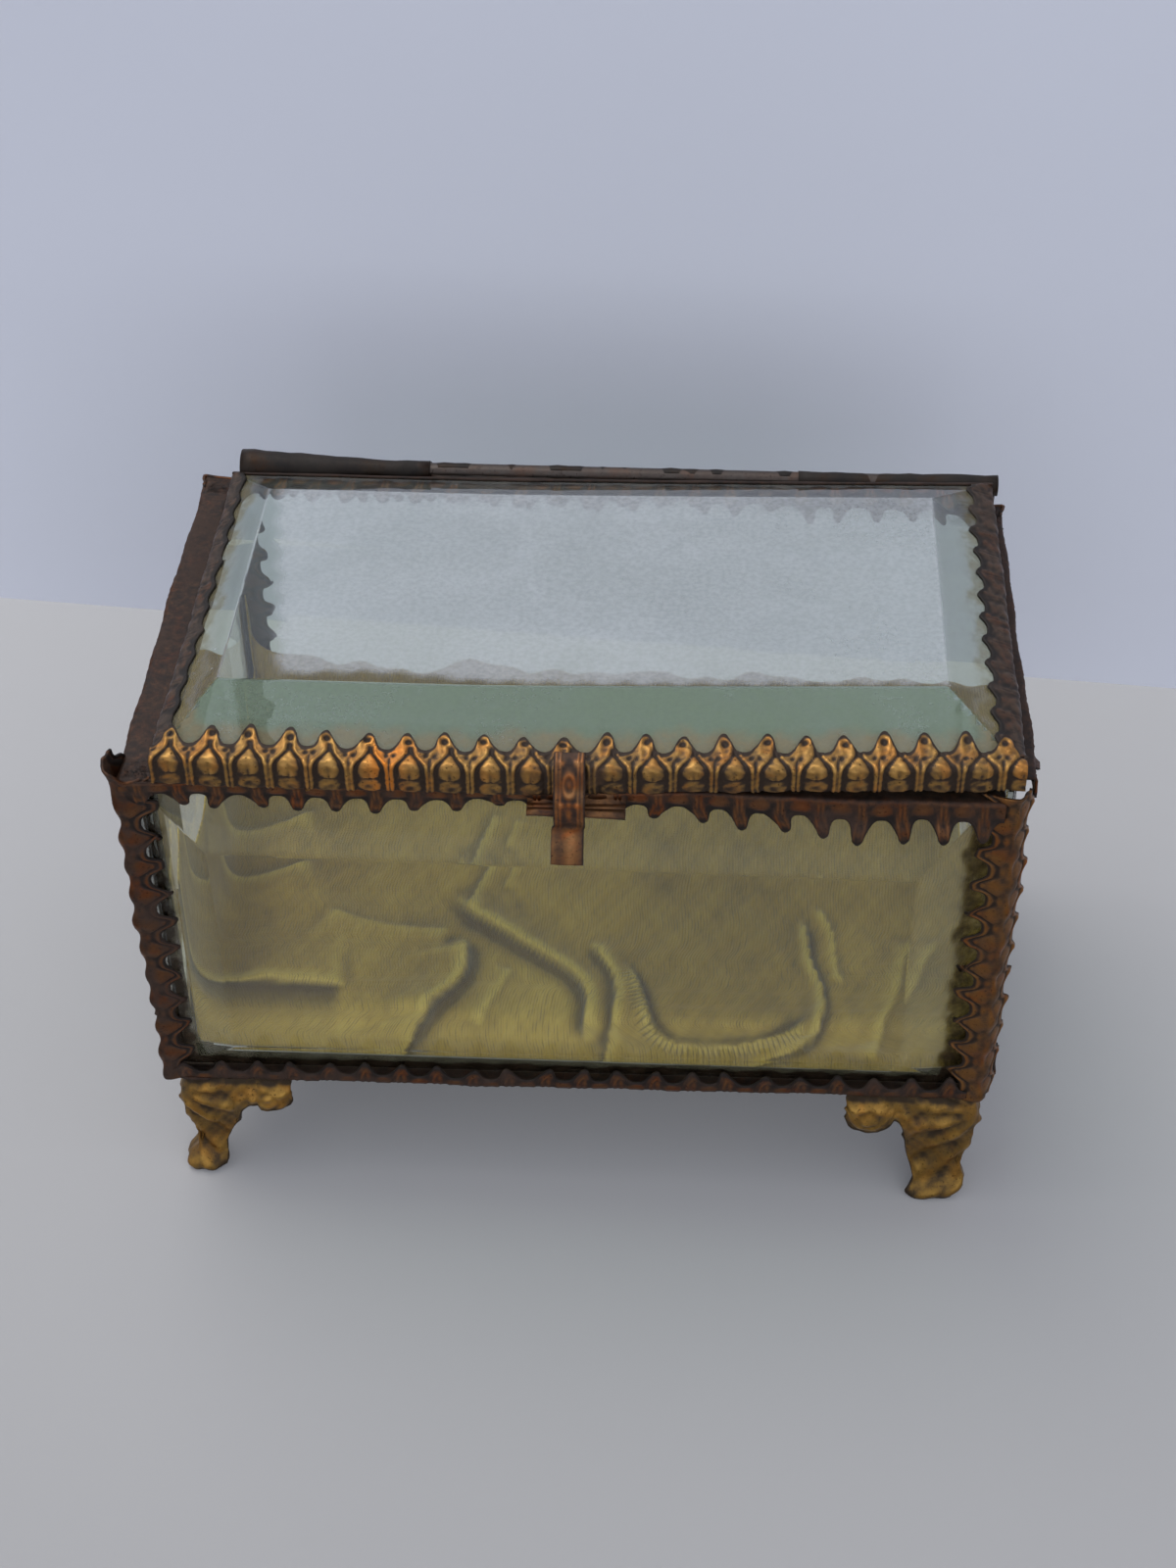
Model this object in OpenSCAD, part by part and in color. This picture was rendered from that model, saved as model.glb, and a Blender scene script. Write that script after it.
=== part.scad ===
// Small table casket: bevelled glass panes in a stamped brass frame on four bracket feet,
// with a hinged glass lid, a sprung clasp and a loose silk lining. Millimetres, +Z up,
// front at -Y, the toes stand on z = 0.

/* [Case] */
// Width over the side walls
case_w = 118; // [100:1:160]
// Depth over the front and rear walls
case_d = 68; // [60:1:100]
// Height of the walls, feet and lid left out
wall_h = 56; // [46:1:80]
// How far the front right corner's fold stands in from the side wall
corner_inset = 3.7; // [3:0.1:4.6]

/* [Brass strip] */
// Thickness of the stamped strip
sheet = 0.4; // [0.3:0.05:0.5]
// Spacing of the border teeth
tooth_pitch = 5.1; // [4:0.1:7]
// Height of a border tooth
tooth_h = 2.3; // [1.6:0.1:2.6]
// Sharpness of a border tooth
tooth_sharp = 1.8; // [1:0.1:3]
// Width of a post's band below its teeth
post_band = 2.9; // [2.6:0.1:3.4]
// Width of a top rail's band above its teeth
top_band = 3.2; // [2.9:0.1:5]
// Width of a top rail's fold inside the glass
inner_fold = 2.5; // [1.5:0.1:2.8]
// Width of a bottom rail's band below its teeth
bottom_band = 1.6; // [1.2:0.1:3]
// Width of the ledge under the floor glass
ledge = 3; // [2:0.1:5]

/* [Wall glass] */
// Thickness of a wall pane
wall_glass = 4; // [3:0.1:5]
// Thickness left at a bevelled edge
wall_edge = 1.8; // [1.2:0.1:2.4]
// Width of the top bevel
bevel_top = 13; // [8:0.5:16]
// Width of the bottom bevel
bevel_bottom = 6; // [5:0.5:12]
// Width of the side bevels
bevel_side = 10; // [7:0.5:14]
// Thickness of the floor pane
floor_glass = 3; // [2:0.1:4]
// Clearance between two panes
glass_gap = 0.05; // [0.02:0.01:0.2]

/* [Lid] */
// Thickness of the lid pane
lid_glass_h = 5; // [4:0.1:6]
// Thickness left at the lid pane's edge
lid_edge = 2; // [1.4:0.1:2.6]
// Width of the lid's front bevel
lid_bevel_front = 13; // [8:0.5:16]
// Width of the lid's rear bevel
lid_bevel_rear = 8; // [7:0.5:12]
// Width of the lid's left bevel
lid_bevel_left = 6.5; // [6.2:0.1:10]
// Width of the lid's right bevel
lid_bevel_right = 9; // [6.5:0.5:12]
// How far the lid's left edge stands in from the side wall
lid_inset_left = 5.5; // [1:0.5:8]
// How far the lid's right edge stands in from the side wall
lid_inset_right = 2.4; // [1:0.2:6]
// How far the lid stands out over the front wall
lid_over = 0.4; // [0.2:0.1:0.8]
// Gap between the wall tops and the closed lid at its left edge
lid_gap = 0.95; // [0.2:0.05:1.2]
// How much higher the warped lid's right edge stands than its left
lid_tilt = 1.5; // [0:0.1:2.4]
// Width of a lid strip's sloping band below its teeth
lid_band = 3.4; // [3.3:0.1:4.5]
// Width of the front lid strip's sloping band below its teeth
lid_front_band = 4; // [3.4:0.1:4.6]
// Height of a tooth on the front lid strip
lid_front_tooth = 3.6; // [2:0.1:4]
// Width of a lid strip's fold under the glass
lid_fold = 3.2; // [1.5:0.1:3.3]

/* [Hinge] */
// Outer radius of the rolled hinge tubes
knuckle_r = 1.7; // [1.5:0.05:2]
// Wall of the rolled hinge tubes
knuckle_wall = 0.45; // [0.42:0.01:0.6]
// Radial play of the pin in the tubes
pin_play = 0.05; // [0.02:0.01:0.08]
// Height of the pin above the wall tops
hinge_rise = 3.6; // [2.9:0.1:4.2]
// Length of the lid's tube
lid_tube_w = 53; // [30:0.5:60]
// Distance of the lid's tube from the middle, to the right
lid_tube_x = 2; // [-4:0.5:4]
// How far the left tube ends from the side wall
tube_inset_left = 6.5; // [6:0.5:10]
// How far the right tube ends from the side wall
tube_inset_right = 1.5; // [1:0.5:8]
// Gap between two tubes
tube_gap = 0.3; // [0.2:0.1:0.6]
// Clearance between the lid's rear face and the case's tubes
hinge_gap = 0.25; // [0.2:0.05:0.4]

/* [Clasp] */
// Width of the clasp strip
clasp_w = 4; // [3:0.1:6]
// Length of the clasp's root on the lid's sloping band
clasp_root_l = 3.6; // [2:0.1:5]
// Radius of the catch tube
catch_r = 1.2; // [0.9:0.05:1.5]
// Length of the catch tube
catch_l = 12.5; // [8:0.5:20]
// Drop of the catch tube below the wall tops
catch_drop = 2.5; // [1.7:0.1:2.8]
// Clearance between the catch tube and the clasp
clasp_gap = 0.3; // [0.2:0.05:0.5]
// How far the curled lip stands out
lip_out = 1.9; // [1:0.1:3]
// Length of the clasp below the catch tube
lip_drop = 4.6; // [3:0.1:7]

/* [Feet] */
// Height of the feet
foot_h = 19.5; // [14:0.5:26]
// Length of a foot's wing along the wall
foot_wing = 18; // [15:0.5:24]
// Width of one side of the leg
leg_w = 7.4; // [6:0.2:9]
// Thickness of the stamped foot
foot_sheet = 0.6; // [0.4:0.05:0.8]
// How far the feet stand in from the side walls
foot_inset = 2.2; // [1:0.1:4]

/* [Lining] */
// Thickness of the card board
board_h = 1.2; // [0.8:0.1:2]
// Thickness of the wadding
wadding_h = 4; // [2:0.5:8]
// Height of the silk over the wadding
silk_h = 5; // [3:0.5:8]
// Height of the silk's rear edge over the wadding
silk_rise = 15.5; // [8:0.5:20]
// Depth of the silk's rise at the rear wall
silk_turn = 7; // [4:0.5:10]
// Clearance around the lining
lining_gap = 0.6; // [0.3:0.1:1.5]

/* [Hidden] */

BRIGHT = "goldenrod";
BROWN = "saddlebrown";
DARK = "dimgray";
PANE = [0.75, 0.88, 0.82, 0.35];
SILK = "darkkhaki";

lie = 0.02;                                // solder film between faces that lie on each other
half_w = case_w / 2;
half_d = case_d / 2;
wall_top = foot_h + wall_h;
wing_w = post_band + tooth_h;
fold_x = half_w - corner_inset;            // fold of the front right post
splay = asin(corner_inset / wing_w);       // its side wing reaches out to the side wall's plane

// Outer planes, from the posts inward: post, rail, glass, inside of the glass, inside of the rail
rail_x = half_w - sheet;
rail_y = half_d - sheet;
glass_x = half_w - 2 * sheet;
glass_y = half_d - 2 * sheet;
inner_x = glass_x - wall_glass;
inner_y = glass_y - wall_glass;
rail_end_y = inner_y - sheet - glass_gap;  // where the side rails' folds meet the front rail's
front_end_x = fold_x - 2 * sheet;          // right end of the front pane and its rails
pane_h = wall_h - 2 * sheet;
rail_depth = wall_glass + 2 * sheet;

// Hinge line
axis_y = half_d - knuckle_r;
axis_z = wall_top + hinge_rise;
bore_r = knuckle_r - knuckle_wall;
lid_tube_from = lid_tube_x - lid_tube_w / 2;
lid_tube_to = lid_tube_x + lid_tube_w / 2;
leaf_end = half_w - wing_w - lie;          // the case's leaves stop at the rear posts' teeth
leaf_h = hinge_rise + top_band - sheet;

// Lid outline and heights
lid_left = -half_w + lid_inset_left;
lid_right = half_w - lid_inset_right;
lid_front = -half_d - lid_over;
lid_rear = axis_y - knuckle_r - hinge_gap;
lid_w = lid_right - lid_left;
lid_d = lid_rear - lid_front;
lid_z = wall_top + lid_gap;
lid_lean = asin(lid_tilt / lid_w);
mitre_gap = 0.02;

// Clasp and catch
catch_x = 0.6;                             // the catch tube sits a little to the right
catch_y = -rail_y - catch_r;
catch_z = wall_top - catch_drop;
tongue_y = catch_y - catch_r - clasp_gap - sheet / 2;
clasp_y = lid_front - sheet / 2 - lie;
root_z = lid_z + 0.8 * lid_edge;           // where the tongue bends below its root, before the lid leans
clasp_z = root_z + lean_rise(0);
lip_y = tongue_y - lip_out;
lip_z = catch_z - catch_r - lip_drop;

// Lining
floor_top = foot_h + sheet + lie + floor_glass;
board_z = floor_top + lie;
wadding_z = board_z + board_h + lie;
silk_z = wadding_z + wadding_h + lie;
lining_x = inner_x - lining_gap;
lining_y = inner_y - lining_gap;

// The clasp's tongue from its bend below the root, past the catch tube, to the curled lip, as [y, z]
TONGUE_PATH = [
  [clasp_y, clasp_z], [clasp_y - 1.25 * sheet, clasp_z - 1.25 * sheet],
  [tongue_y + sheet, catch_z + 1.75 * catch_r], [tongue_y, catch_z + catch_r],
  [tongue_y, catch_z - 0.83 * catch_r], [tongue_y + 0.4 * sheet, catch_z - 1.42 * catch_r],
  [tongue_y - 0.2 * sheet, catch_z - 2.25 * catch_r], [tongue_y - 0.45 * lip_out, lip_z + 0.4 * lip_drop],
  [lip_y, lip_z]
];

// Bow of a foot's stamped sheet from top to toe, [share of the height, share of the leg's width outward]
FOOT_BOW = [
  [1, -0.04], [0.9, 0.08], [0.77, 0.15], [0.62, 0.07], [0.46, -0.07],
  [0.31, -0.12], [0.18, -0.05], [0.08, 0.1], [0, 0.12]
];

// Middle of the whole object in depth, from the clasp's lip to the knees of the rear feet
front_most = min([for (p = ribbon(TONGUE_PATH, sheet)) p[0]]);
rear_most = half_d + leg_w * max([for (p = FOOT_BOW) p[1]]);
middle_y = (front_most + rear_most) / 2;

module framed() {
  translate([0, -middle_y, 0]) children();
}

// ---------- shapes shared by the pieces ----------

// Extrude a [y, z] outline along +X
module along_x(length) {
  rotate([90, 0, 90]) linear_extrude(length) children();
}

// Extrude a [x, z] outline along +Y
module along_y(length) {
  translate([0, length, 0]) rotate([90, 0, 0]) linear_extrude(length) children();
}

// Border of bell-shaped teeth as [along, across] points from 0 to length
TOOTH_STEPS = [-0.5, -0.27, -0.12, 0, 0.12, 0.27];
function tooth(s) = pow((1 + cos(360 * s)) / 2, tooth_sharp);
function border(length, band, rise = tooth_h) =
  let (count = max(1, round(length / tooth_pitch)), pitch = length / count)
  concat(
    [[0, 0]],
    [for (i = [0:count - 1]) for (s = TOOTH_STEPS) [(i + 0.5 + s) * pitch, band + rise * tooth(s)]],
    [[length, band], [length, 0]]
  );
function swapped(points) = [for (p = points) [p[1], p[0]]];
function turned(points) = [for (p = points) [p[0], -p[1]]];

// A thin ribbon along a [y, z] path
function step_dir(path, i) =
  let (a = path[max(0, i - 1)], b = path[min(len(path) - 1, i + 1)], d = b - a)
  d / norm(d);
function ribbon(path, t) = concat(
  [for (i = [0:len(path) - 1]) path[i] + t / 2 * [-step_dir(path, i)[1], step_dir(path, i)[0]]],
  [for (i = [len(path) - 1:-1:0]) path[i] - t / 2 * [-step_dir(path, i)[1], step_dir(path, i)[0]]]
);

// Pane lying against y = 0 with its outer face bevelled, x from 0 and z from 0
module pane(w, h) {
  cut = wall_glass - wall_edge;
  intersection() {
    linear_extrude(h)
      polygon([[0, cut], [bevel_side, 0], [w - bevel_side, 0], [w, cut], [w, wall_glass], [0, wall_glass]]);
    along_x(w)
      polygon([[cut, 0], [0, bevel_bottom], [0, h - bevel_top], [cut, h], [wall_glass, h], [wall_glass, 0]]);
  }
}

// Channel over the top edge of a pane: outer face on y = 0, top on z = 0, x from 0. Its fold inside
// the glass runs from one side pane to the other
module top_channel(length, from, to) {
  low = top_band + tooth_h;
  intersection() {
    along_x(length)
      polygon([[0, -low], [sheet, -low], [sheet, -sheet], [rail_depth, -sheet], [rail_depth, 0], [0, 0]]);
    along_y(rail_depth) polygon(turned(border(length, top_band)));
  }
  translate([from, rail_depth - sheet, -sheet - inner_fold]) cube([to - from, sheet, sheet + inner_fold]);
}

// Side channel: its outer flange runs on past the folds, which stop between the front and rear rails
module side_channel(start) {
  flange_l = rail_y - start;
  fold_l = 2 * rail_end_y;
  fold_at = -rail_end_y - start;
  along_y(sheet) polygon(turned(border(flange_l, top_band)));
  translate([fold_at, 0, -sheet]) cube([fold_l, rail_depth, sheet]);
  translate([fold_at, rail_depth - sheet, -sheet - inner_fold]) cube([fold_l, sheet, sheet + inner_fold]);
}

// Angle under the bottom edge of a pane: outer face on y = 0, underside on z = 0, x from 0
module bottom_angle(length) {
  depth = sheet + wall_glass + ledge;
  intersection() {
    along_x(length) polygon([
      [0, 0], [depth, 0], [depth, sheet], [sheet, sheet],
      [sheet, bottom_band + tooth_h], [0, bottom_band + tooth_h]
    ]);
    along_y(depth) polygon(border(length, bottom_band));
  }
}

module side_angle(start) {
  depth = sheet + wall_glass + ledge;
  ledge_y = inner_y - ledge - glass_gap;
  along_y(sheet) polygon(border(rail_y - start, bottom_band));
  translate([-ledge_y - start, 0, 0]) cube([2 * ledge_y, depth, sheet]);
}

// Places for pieces built along a wall: the front wall's own frame, its mirror image at the rear,
// and the right wall with its mirror image at the left
module at_front(x, z) { framed() translate([x, -rail_y, z]) children(); }
module at_rear(x, z) { framed() mirror([0, 1, 0]) translate([x, -rail_y, z]) children(); }
module at_right(start, z) { framed() translate([rail_x, start, z]) rotate([0, 0, 90]) children(); }
module at_left(start, z) {
  framed() mirror([1, 0, 0]) translate([rail_x, start, z]) rotate([0, 0, 90]) children();
}

// ---------- glass ----------

module front_glass() {
  color(PANE) at_front(-glass_x, foot_h + sheet) translate([0, sheet, 0]) pane(front_end_x + glass_x, pane_h);
}

module rear_glass() {
  color(PANE) at_rear(-glass_x, foot_h + sheet) translate([0, sheet, 0]) pane(2 * glass_x, pane_h);
}

side_pane_y = inner_y - glass_gap;

module left_glass() {
  color(PANE) at_left(-side_pane_y, foot_h + sheet) translate([0, sheet, 0]) pane(2 * side_pane_y, pane_h);
}

module right_glass() {
  color(PANE) at_right(-side_pane_y, foot_h + sheet) translate([0, sheet, 0]) pane(2 * side_pane_y, pane_h);
}

module floor_glass_pane() {
  x = inner_x - glass_gap;
  y = inner_y - glass_gap;
  color(PANE) framed() translate([-x, -y, foot_h + sheet + lie]) cube([2 * x, 2 * y, floor_glass]);
}

// ---------- posts ----------

// One toothed wing standing on z = 0, outer face on y = 0, from the fold at x = 0
module post_wing() {
  along_y(sheet) polygon(swapped(border(wall_h, post_band)));
}

// Post with its fold at the origin and its wings along +X and +Y
module post(open_by) {
  post_wing();
  rotate([0, 0, open_by]) mirror([1, -1, 0]) post_wing();
}

module post_front_left() {
  color(BROWN) framed() translate([-half_w, -half_d, foot_h]) post(0);
}

module post_front_right() {
  color(BROWN) framed() translate([fold_x, -half_d, foot_h]) mirror([1, 0, 0]) post(splay);
}

module post_rear_left() {
  color(BROWN) framed() translate([-half_w, half_d, foot_h]) mirror([0, 1, 0]) post(0);
}

module post_rear_right() {
  color(BROWN) framed() translate([half_w, half_d, foot_h]) mirror([1, 0, 0]) mirror([0, 1, 0]) post(0);
}

// ---------- rails ----------

fold_from = wall_glass + glass_gap;        // where a top channel's fold starts, from the channel's left end

module top_rail_front() {
  length = front_end_x + glass_x;
  fold_to = min(length, glass_x + inner_x - glass_gap);
  color(BROWN) at_front(-glass_x, wall_top) top_channel(length, fold_from, fold_to);
}

module top_rail_rear() {
  color(BROWN) at_rear(-glass_x, wall_top) top_channel(2 * glass_x, fold_from, 2 * glass_x - fold_from);
}

module top_rail_left() { color(BROWN) at_left(-rail_y, wall_top) side_channel(-rail_y); }
module top_rail_right() { color(BROWN) at_right(-side_pane_y, wall_top) side_channel(-side_pane_y); }

module bottom_rail_front() { color(BROWN) at_front(-glass_x, foot_h) bottom_angle(front_end_x + glass_x); }
module bottom_rail_rear() { color(BROWN) at_rear(-glass_x, foot_h) bottom_angle(2 * glass_x); }
module bottom_rail_left() { color(BROWN) at_left(-rail_y, foot_h) side_angle(-rail_y); }

// The right rail's ledge also fills the front corner that the shortened front rail leaves open
module bottom_rail_right() {
  reach = front_end_x + glass_gap;
  color(BROWN) at_right(-side_pane_y, foot_h) side_angle(-side_pane_y);
  color(BROWN) framed() translate([reach, -side_pane_y, foot_h])
    cube([rail_x - reach, side_pane_y - inner_y + ledge + 2 * glass_gap, sheet]);
}

// ---------- feet ----------

arch_z = foot_h * 0.78;                    // crown of the arch between lobe and leg
arch_u = leg_w * 1.46;
lobe_r = (foot_wing - arch_u) * 0.42;
ankle_z = foot_h * 0.42;
foot_margin = leg_w / 2;                   // the flat outlines run on past the bowed sheet

// Outline of one wing, [along the wall from the corner, height]
function foot_outline() = concat(
  [[-foot_margin, foot_h], [foot_wing, foot_h]],
  [for (a = [0:-30:-150]) [foot_wing + lobe_r * (cos(a) - 1), arch_z + lobe_r * (0.3 + 1.13 * sin(a))]],
  [for (a = [90:15:180]) [arch_u + (arch_u - leg_w) * cos(a), ankle_z + (arch_z - ankle_z) * sin(a)]],
  [[leg_w * 0.93, foot_h * 0.3], [leg_w * 0.99, foot_h * 0.22], [leg_w * 0.74, foot_h * 0.11]],
  [[leg_w * 0.72, 0], [-foot_margin, 0]]
);

foot_reach = foot_wing + foot_margin;

// Everything behind the bowed face along +X, set back by inset and run on past the foot's top and bottom
module behind_face(inset) {
  translate([-foot_margin, 0, 0]) along_x(foot_margin + foot_reach) polygon(concat(
    [[inset - FOOT_BOW[0][1] * leg_w, foot_h + inset]],
    [for (p = FOOT_BOW) [inset - p[1] * leg_w, p[0] * foot_h]],
    [[inset - FOOT_BOW[len(FOOT_BOW) - 1][1] * leg_w, -inset]],
    [[foot_reach, -inset], [foot_reach, foot_h + inset]]
  ));
}

module behind_both_faces(inset) {
  intersection() {
    behind_face(inset);
    mirror([1, -1, 0]) behind_face(inset);
  }
}

// What the outline leaves of the wing along +X, up to a little past the fold
module foot_cutout() {
  lap = foot_sheet;
  intersection() {
    translate([0, -foot_margin, 0]) along_y(foot_margin + foot_reach) polygon(foot_outline());
    linear_extrude(foot_h) polygon([
      [-foot_margin - lap, -foot_margin], [foot_reach, -foot_margin], [foot_reach, foot_reach + lap]
    ]);
  }
}

// Foot with its corner at the origin, wings along +X and +Y, with the tab that is soldered under the rails
module foot() {
  tab = leg_w * 1.14;
  intersection() {
    difference() {
      behind_both_faces(0);
      behind_both_faces(foot_sheet);
    }
    union() {
      foot_cutout();
      mirror([1, -1, 0]) foot_cutout();
    }
  }
  translate([foot_sheet, foot_sheet, foot_h - foot_sheet]) linear_extrude(foot_sheet)
    polygon([[0, 0], [tab, 0], [0, tab]]);
}

foot_x = half_w - foot_inset;

module foot_front_left() { color(BRIGHT) framed() translate([-foot_x, -half_d, 0]) foot(); }
module foot_front_right() { color(BRIGHT) framed() translate([fold_x, -half_d, 0]) mirror([1, 0, 0]) foot(); }
module foot_rear_left() { color(BRIGHT) framed() translate([-foot_x, half_d, 0]) mirror([0, 1, 0]) foot(); }
module foot_rear_right() {
  color(BRIGHT) framed() translate([foot_x, half_d, 0]) mirror([1, 0, 0]) mirror([0, 1, 0]) foot();
}

// ---------- hinge ----------

module knuckle(from, to) {
  translate([from, axis_y, axis_z]) rotate([0, 90, 0]) cylinder(r = knuckle_r, h = to - from, $fn = 48);
}

module knuckle_bore(from, to) {
  translate([from - knuckle_r, axis_y, axis_z]) rotate([0, 90, 0])
    cylinder(r = bore_r, h = to - from + 2 * knuckle_r, $fn = 48);
}

// Rolled tube of the case, its leaf soldered to the rear rail
module case_tube(from, to, leaf_from, leaf_to) {
  color(DARK) framed() difference() {
    union() {
      knuckle(from, to);
      translate([leaf_from, half_d - sheet, axis_z - leaf_h]) cube([leaf_to - leaf_from, sheet, leaf_h]);
    }
    knuckle_bore(from, to);
  }
}

left_tube_from = -half_w + tube_inset_left;
left_tube_to = lid_tube_from - tube_gap;
right_tube_from = lid_tube_to + tube_gap;
right_tube_to = half_w - tube_inset_right;

module hinge_tube_left() {
  case_tube(left_tube_from, left_tube_to, max(left_tube_from, -leaf_end), left_tube_to);
}

module hinge_tube_right() {
  case_tube(right_tube_from, right_tube_to, right_tube_from, min(right_tube_to, leaf_end));
}

// Tube of the lid, its leaf soldered to the lid's rear strip
module hinge_tube_lid() {
  leaf_t = hinge_gap + sheet;
  leaf_z = lid_z + lean_rise(lid_tube_x);
  color(DARK) framed() difference() {
    union() {
      knuckle(lid_tube_from, lid_tube_to);
      translate([lid_tube_from, lid_rear + lie, leaf_z]) cube([lid_tube_w, leaf_t - lie, axis_z - leaf_z]);
    }
    knuckle_bore(lid_tube_from, lid_tube_to);
  }
}

module hinge_pin() {
  color(DARK) framed() translate([left_tube_from + knuckle_wall, axis_y, axis_z]) rotate([0, 90, 0])
    cylinder(r = bore_r - pin_play, h = right_tube_to - left_tube_from - 2 * knuckle_wall, $fn = 48);
}

// ---------- lid ----------

pane_lift = sheet + lie;                   // the pane's underside above the lid strips' underside

// Outline of the lid pane across its width, bevelled by a at the near edge and by b at the far edge
function bevelled(width, a, b) = [
  [0, 0], [width, 0], [width, lid_edge], [width - b, lid_glass_h], [a, lid_glass_h], [0, lid_edge]
];

module lid_glass() {
  w = lid_w - 2 * sheet;
  d = lid_d - 2 * sheet;
  color(PANE) leaning() translate([lid_left + sheet, lid_front + sheet, lid_z + pane_lift]) intersection() {
    along_x(w) polygon(bevelled(d, lid_bevel_front, lid_bevel_rear));
    along_y(d) polygon(bevelled(w, lid_bevel_left, lid_bevel_right));
  }
}

// A lid piece, modelled level, leans up to the right about the lid's lower left edge
module leaning() {
  framed() translate([lid_left, 0, lid_z]) rotate([0, -lid_lean, 0]) translate([-lid_left, 0, -lid_z]) children();
}
function lean_rise(x) = (x - lid_left) * tan(lid_lean);

// Height of a lid strip's sloping underside above the strip's underside, v in from its outer face
function slope_z(bevel, v) = pane_lift + lid_edge + lie + (v - sheet) * (lid_glass_h - lid_edge) / bevel;
function band_rise(bevel) = sheet * norm([bevel, lid_glass_h - lid_edge]) / bevel;

// Lid strip in its own frame: outer face on y = 0, underside on z = 0, x from 0, mitred at both ends
module lid_strip(length, bevel, band = lid_band, tooth_rise = tooth_h) {
  reach = band + tooth_rise;
  rise = band_rise(bevel);
  tall = lid_glass_h + lid_edge;
  intersection() {
    along_x(length) polygon([
      [0, 0], [lid_fold, 0], [lid_fold, sheet], [sheet, sheet], [sheet, slope_z(bevel, sheet)],
      [reach, slope_z(bevel, reach)], [reach, slope_z(bevel, reach) + rise], [0, slope_z(bevel, 0) + rise]
    ]);
    linear_extrude(tall) polygon(border(length, band, tooth_rise));
    linear_extrude(tall) polygon([
      [mitre_gap, 0], [length - mitre_gap, 0], [length - mitre_gap - reach, reach], [mitre_gap + reach, reach]
    ]);
  }
}

module lid_strip_front() {
  color(BRIGHT) leaning() translate([lid_left, lid_front, lid_z])
    lid_strip(lid_w, lid_bevel_front, lid_front_band, lid_front_tooth);
}

module lid_strip_rear() {
  color(BROWN) leaning() translate([lid_right, lid_rear, lid_z]) rotate([0, 0, 180])
    lid_strip(lid_w, lid_bevel_rear);
}

module lid_strip_left() {
  color(BROWN) leaning() translate([lid_left, lid_rear, lid_z]) rotate([0, 0, -90])
    lid_strip(lid_d, lid_bevel_left);
}

module lid_strip_right() {
  color(BROWN) leaning() translate([lid_right, lid_front, lid_z]) rotate([0, 0, 90])
    lid_strip(lid_d, lid_bevel_right);
}

// ---------- clasp ----------

// Top of the front strip's sloping band, at y
function band_top(y) = lid_z + slope_z(lid_bevel_front, y - lid_front) + band_rise(lid_bevel_front);

module clasp_root() {
  back = lid_front + clasp_root_l;
  face = lid_front - lie;
  color(BRIGHT) leaning() translate([-clasp_w / 2, 0, 0]) along_x(clasp_w) polygon([
    [back, band_top(back) + lie], [face, band_top(face) + lie],
    [face, root_z + sheet / 2], [face - sheet, root_z + sheet / 2],
    [face - sheet, band_top(face) + sheet], [back, band_top(back) + sheet + lie]
  ]);
}

module clasp_tongue() {
  color(BRIGHT) framed() translate([-clasp_w / 2, 0, 0]) along_x(clasp_w) polygon(ribbon(TONGUE_PATH, sheet));
}

module catch_tube() {
  tang_w = catch_l * 0.6;
  tang_h = catch_drop * 0.8;
  color(BROWN) framed() difference() {
    union() {
      translate([catch_x - catch_l / 2, catch_y, catch_z]) rotate([0, 90, 0])
        cylinder(r = catch_r, h = catch_l, $fn = 40);
      translate([catch_x - tang_w / 2, -rail_y - sheet, catch_z]) cube([tang_w, sheet - lie, tang_h]);
    }
    translate([catch_x - catch_l / 2 - catch_r, catch_y, catch_z]) rotate([0, 90, 0])
      cylinder(r = catch_r - sheet - 2 * lie, h = catch_l + 2 * catch_r, $fn = 40);
  }
}

// ---------- lining ----------

module lining_slab(z, h) {
  framed() translate([-lining_x, -lining_y, z]) cube([2 * lining_x, 2 * lining_y, h]);
}

module cushion_board() {
  color("tan") lining_slab(board_z, board_h);
}

module cushion_wadding() {
  color("ivory") lining_slab(wadding_z, wadding_h);
}

// Loose silk: a low crowned layer that rises along the rear wall
module silk_lining() {
  top = silk_z + silk_h;
  low = silk_z + silk_h / 2;
  color(SILK) framed() {
    intersection() {
      translate([-lining_x, 0, 0]) along_x(2 * lining_x) polygon([
        [-lining_y, silk_z], [lining_y, silk_z], [lining_y, top], [lining_y * 0.2, top],
        [-lining_y * 0.6, top - silk_h * 0.1], [-lining_y, low]
      ]);
      translate([0, -lining_y, 0]) along_y(2 * lining_y) polygon([
        [-lining_x, silk_z], [lining_x, silk_z], [lining_x, low],
        [lining_x * 0.7, top], [-lining_x * 0.7, top], [-lining_x, low]
      ]);
    }
    translate([-lining_x, 0, 0]) along_x(2 * lining_x) polygon([
      [lining_y - silk_turn, silk_z], [lining_y, silk_z],
      [lining_y, silk_z + silk_rise], [lining_y - silk_turn * 0.2, silk_z + silk_rise],
      [lining_y - silk_turn * 0.5, silk_z + silk_rise * 0.5], [lining_y - silk_turn, low]
    ]);
  }
}

front_glass();
rear_glass();
left_glass();
right_glass();
floor_glass_pane();
post_front_left();
post_front_right();
post_rear_left();
post_rear_right();
top_rail_front();
top_rail_rear();
top_rail_left();
top_rail_right();
bottom_rail_front();
bottom_rail_rear();
bottom_rail_left();
bottom_rail_right();
foot_front_left();
foot_front_right();
foot_rear_left();
foot_rear_right();
hinge_tube_left();
hinge_tube_right();
hinge_pin();
catch_tube();
cushion_board();
cushion_wadding();
silk_lining();
lid_glass();
lid_strip_front();
lid_strip_rear();
lid_strip_left();
lid_strip_right();
hinge_tube_lid();
clasp_root();
clasp_tongue();
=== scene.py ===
import math

import bmesh
import bpy
import numpy as np
from mathutils import Matrix, Vector


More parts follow.
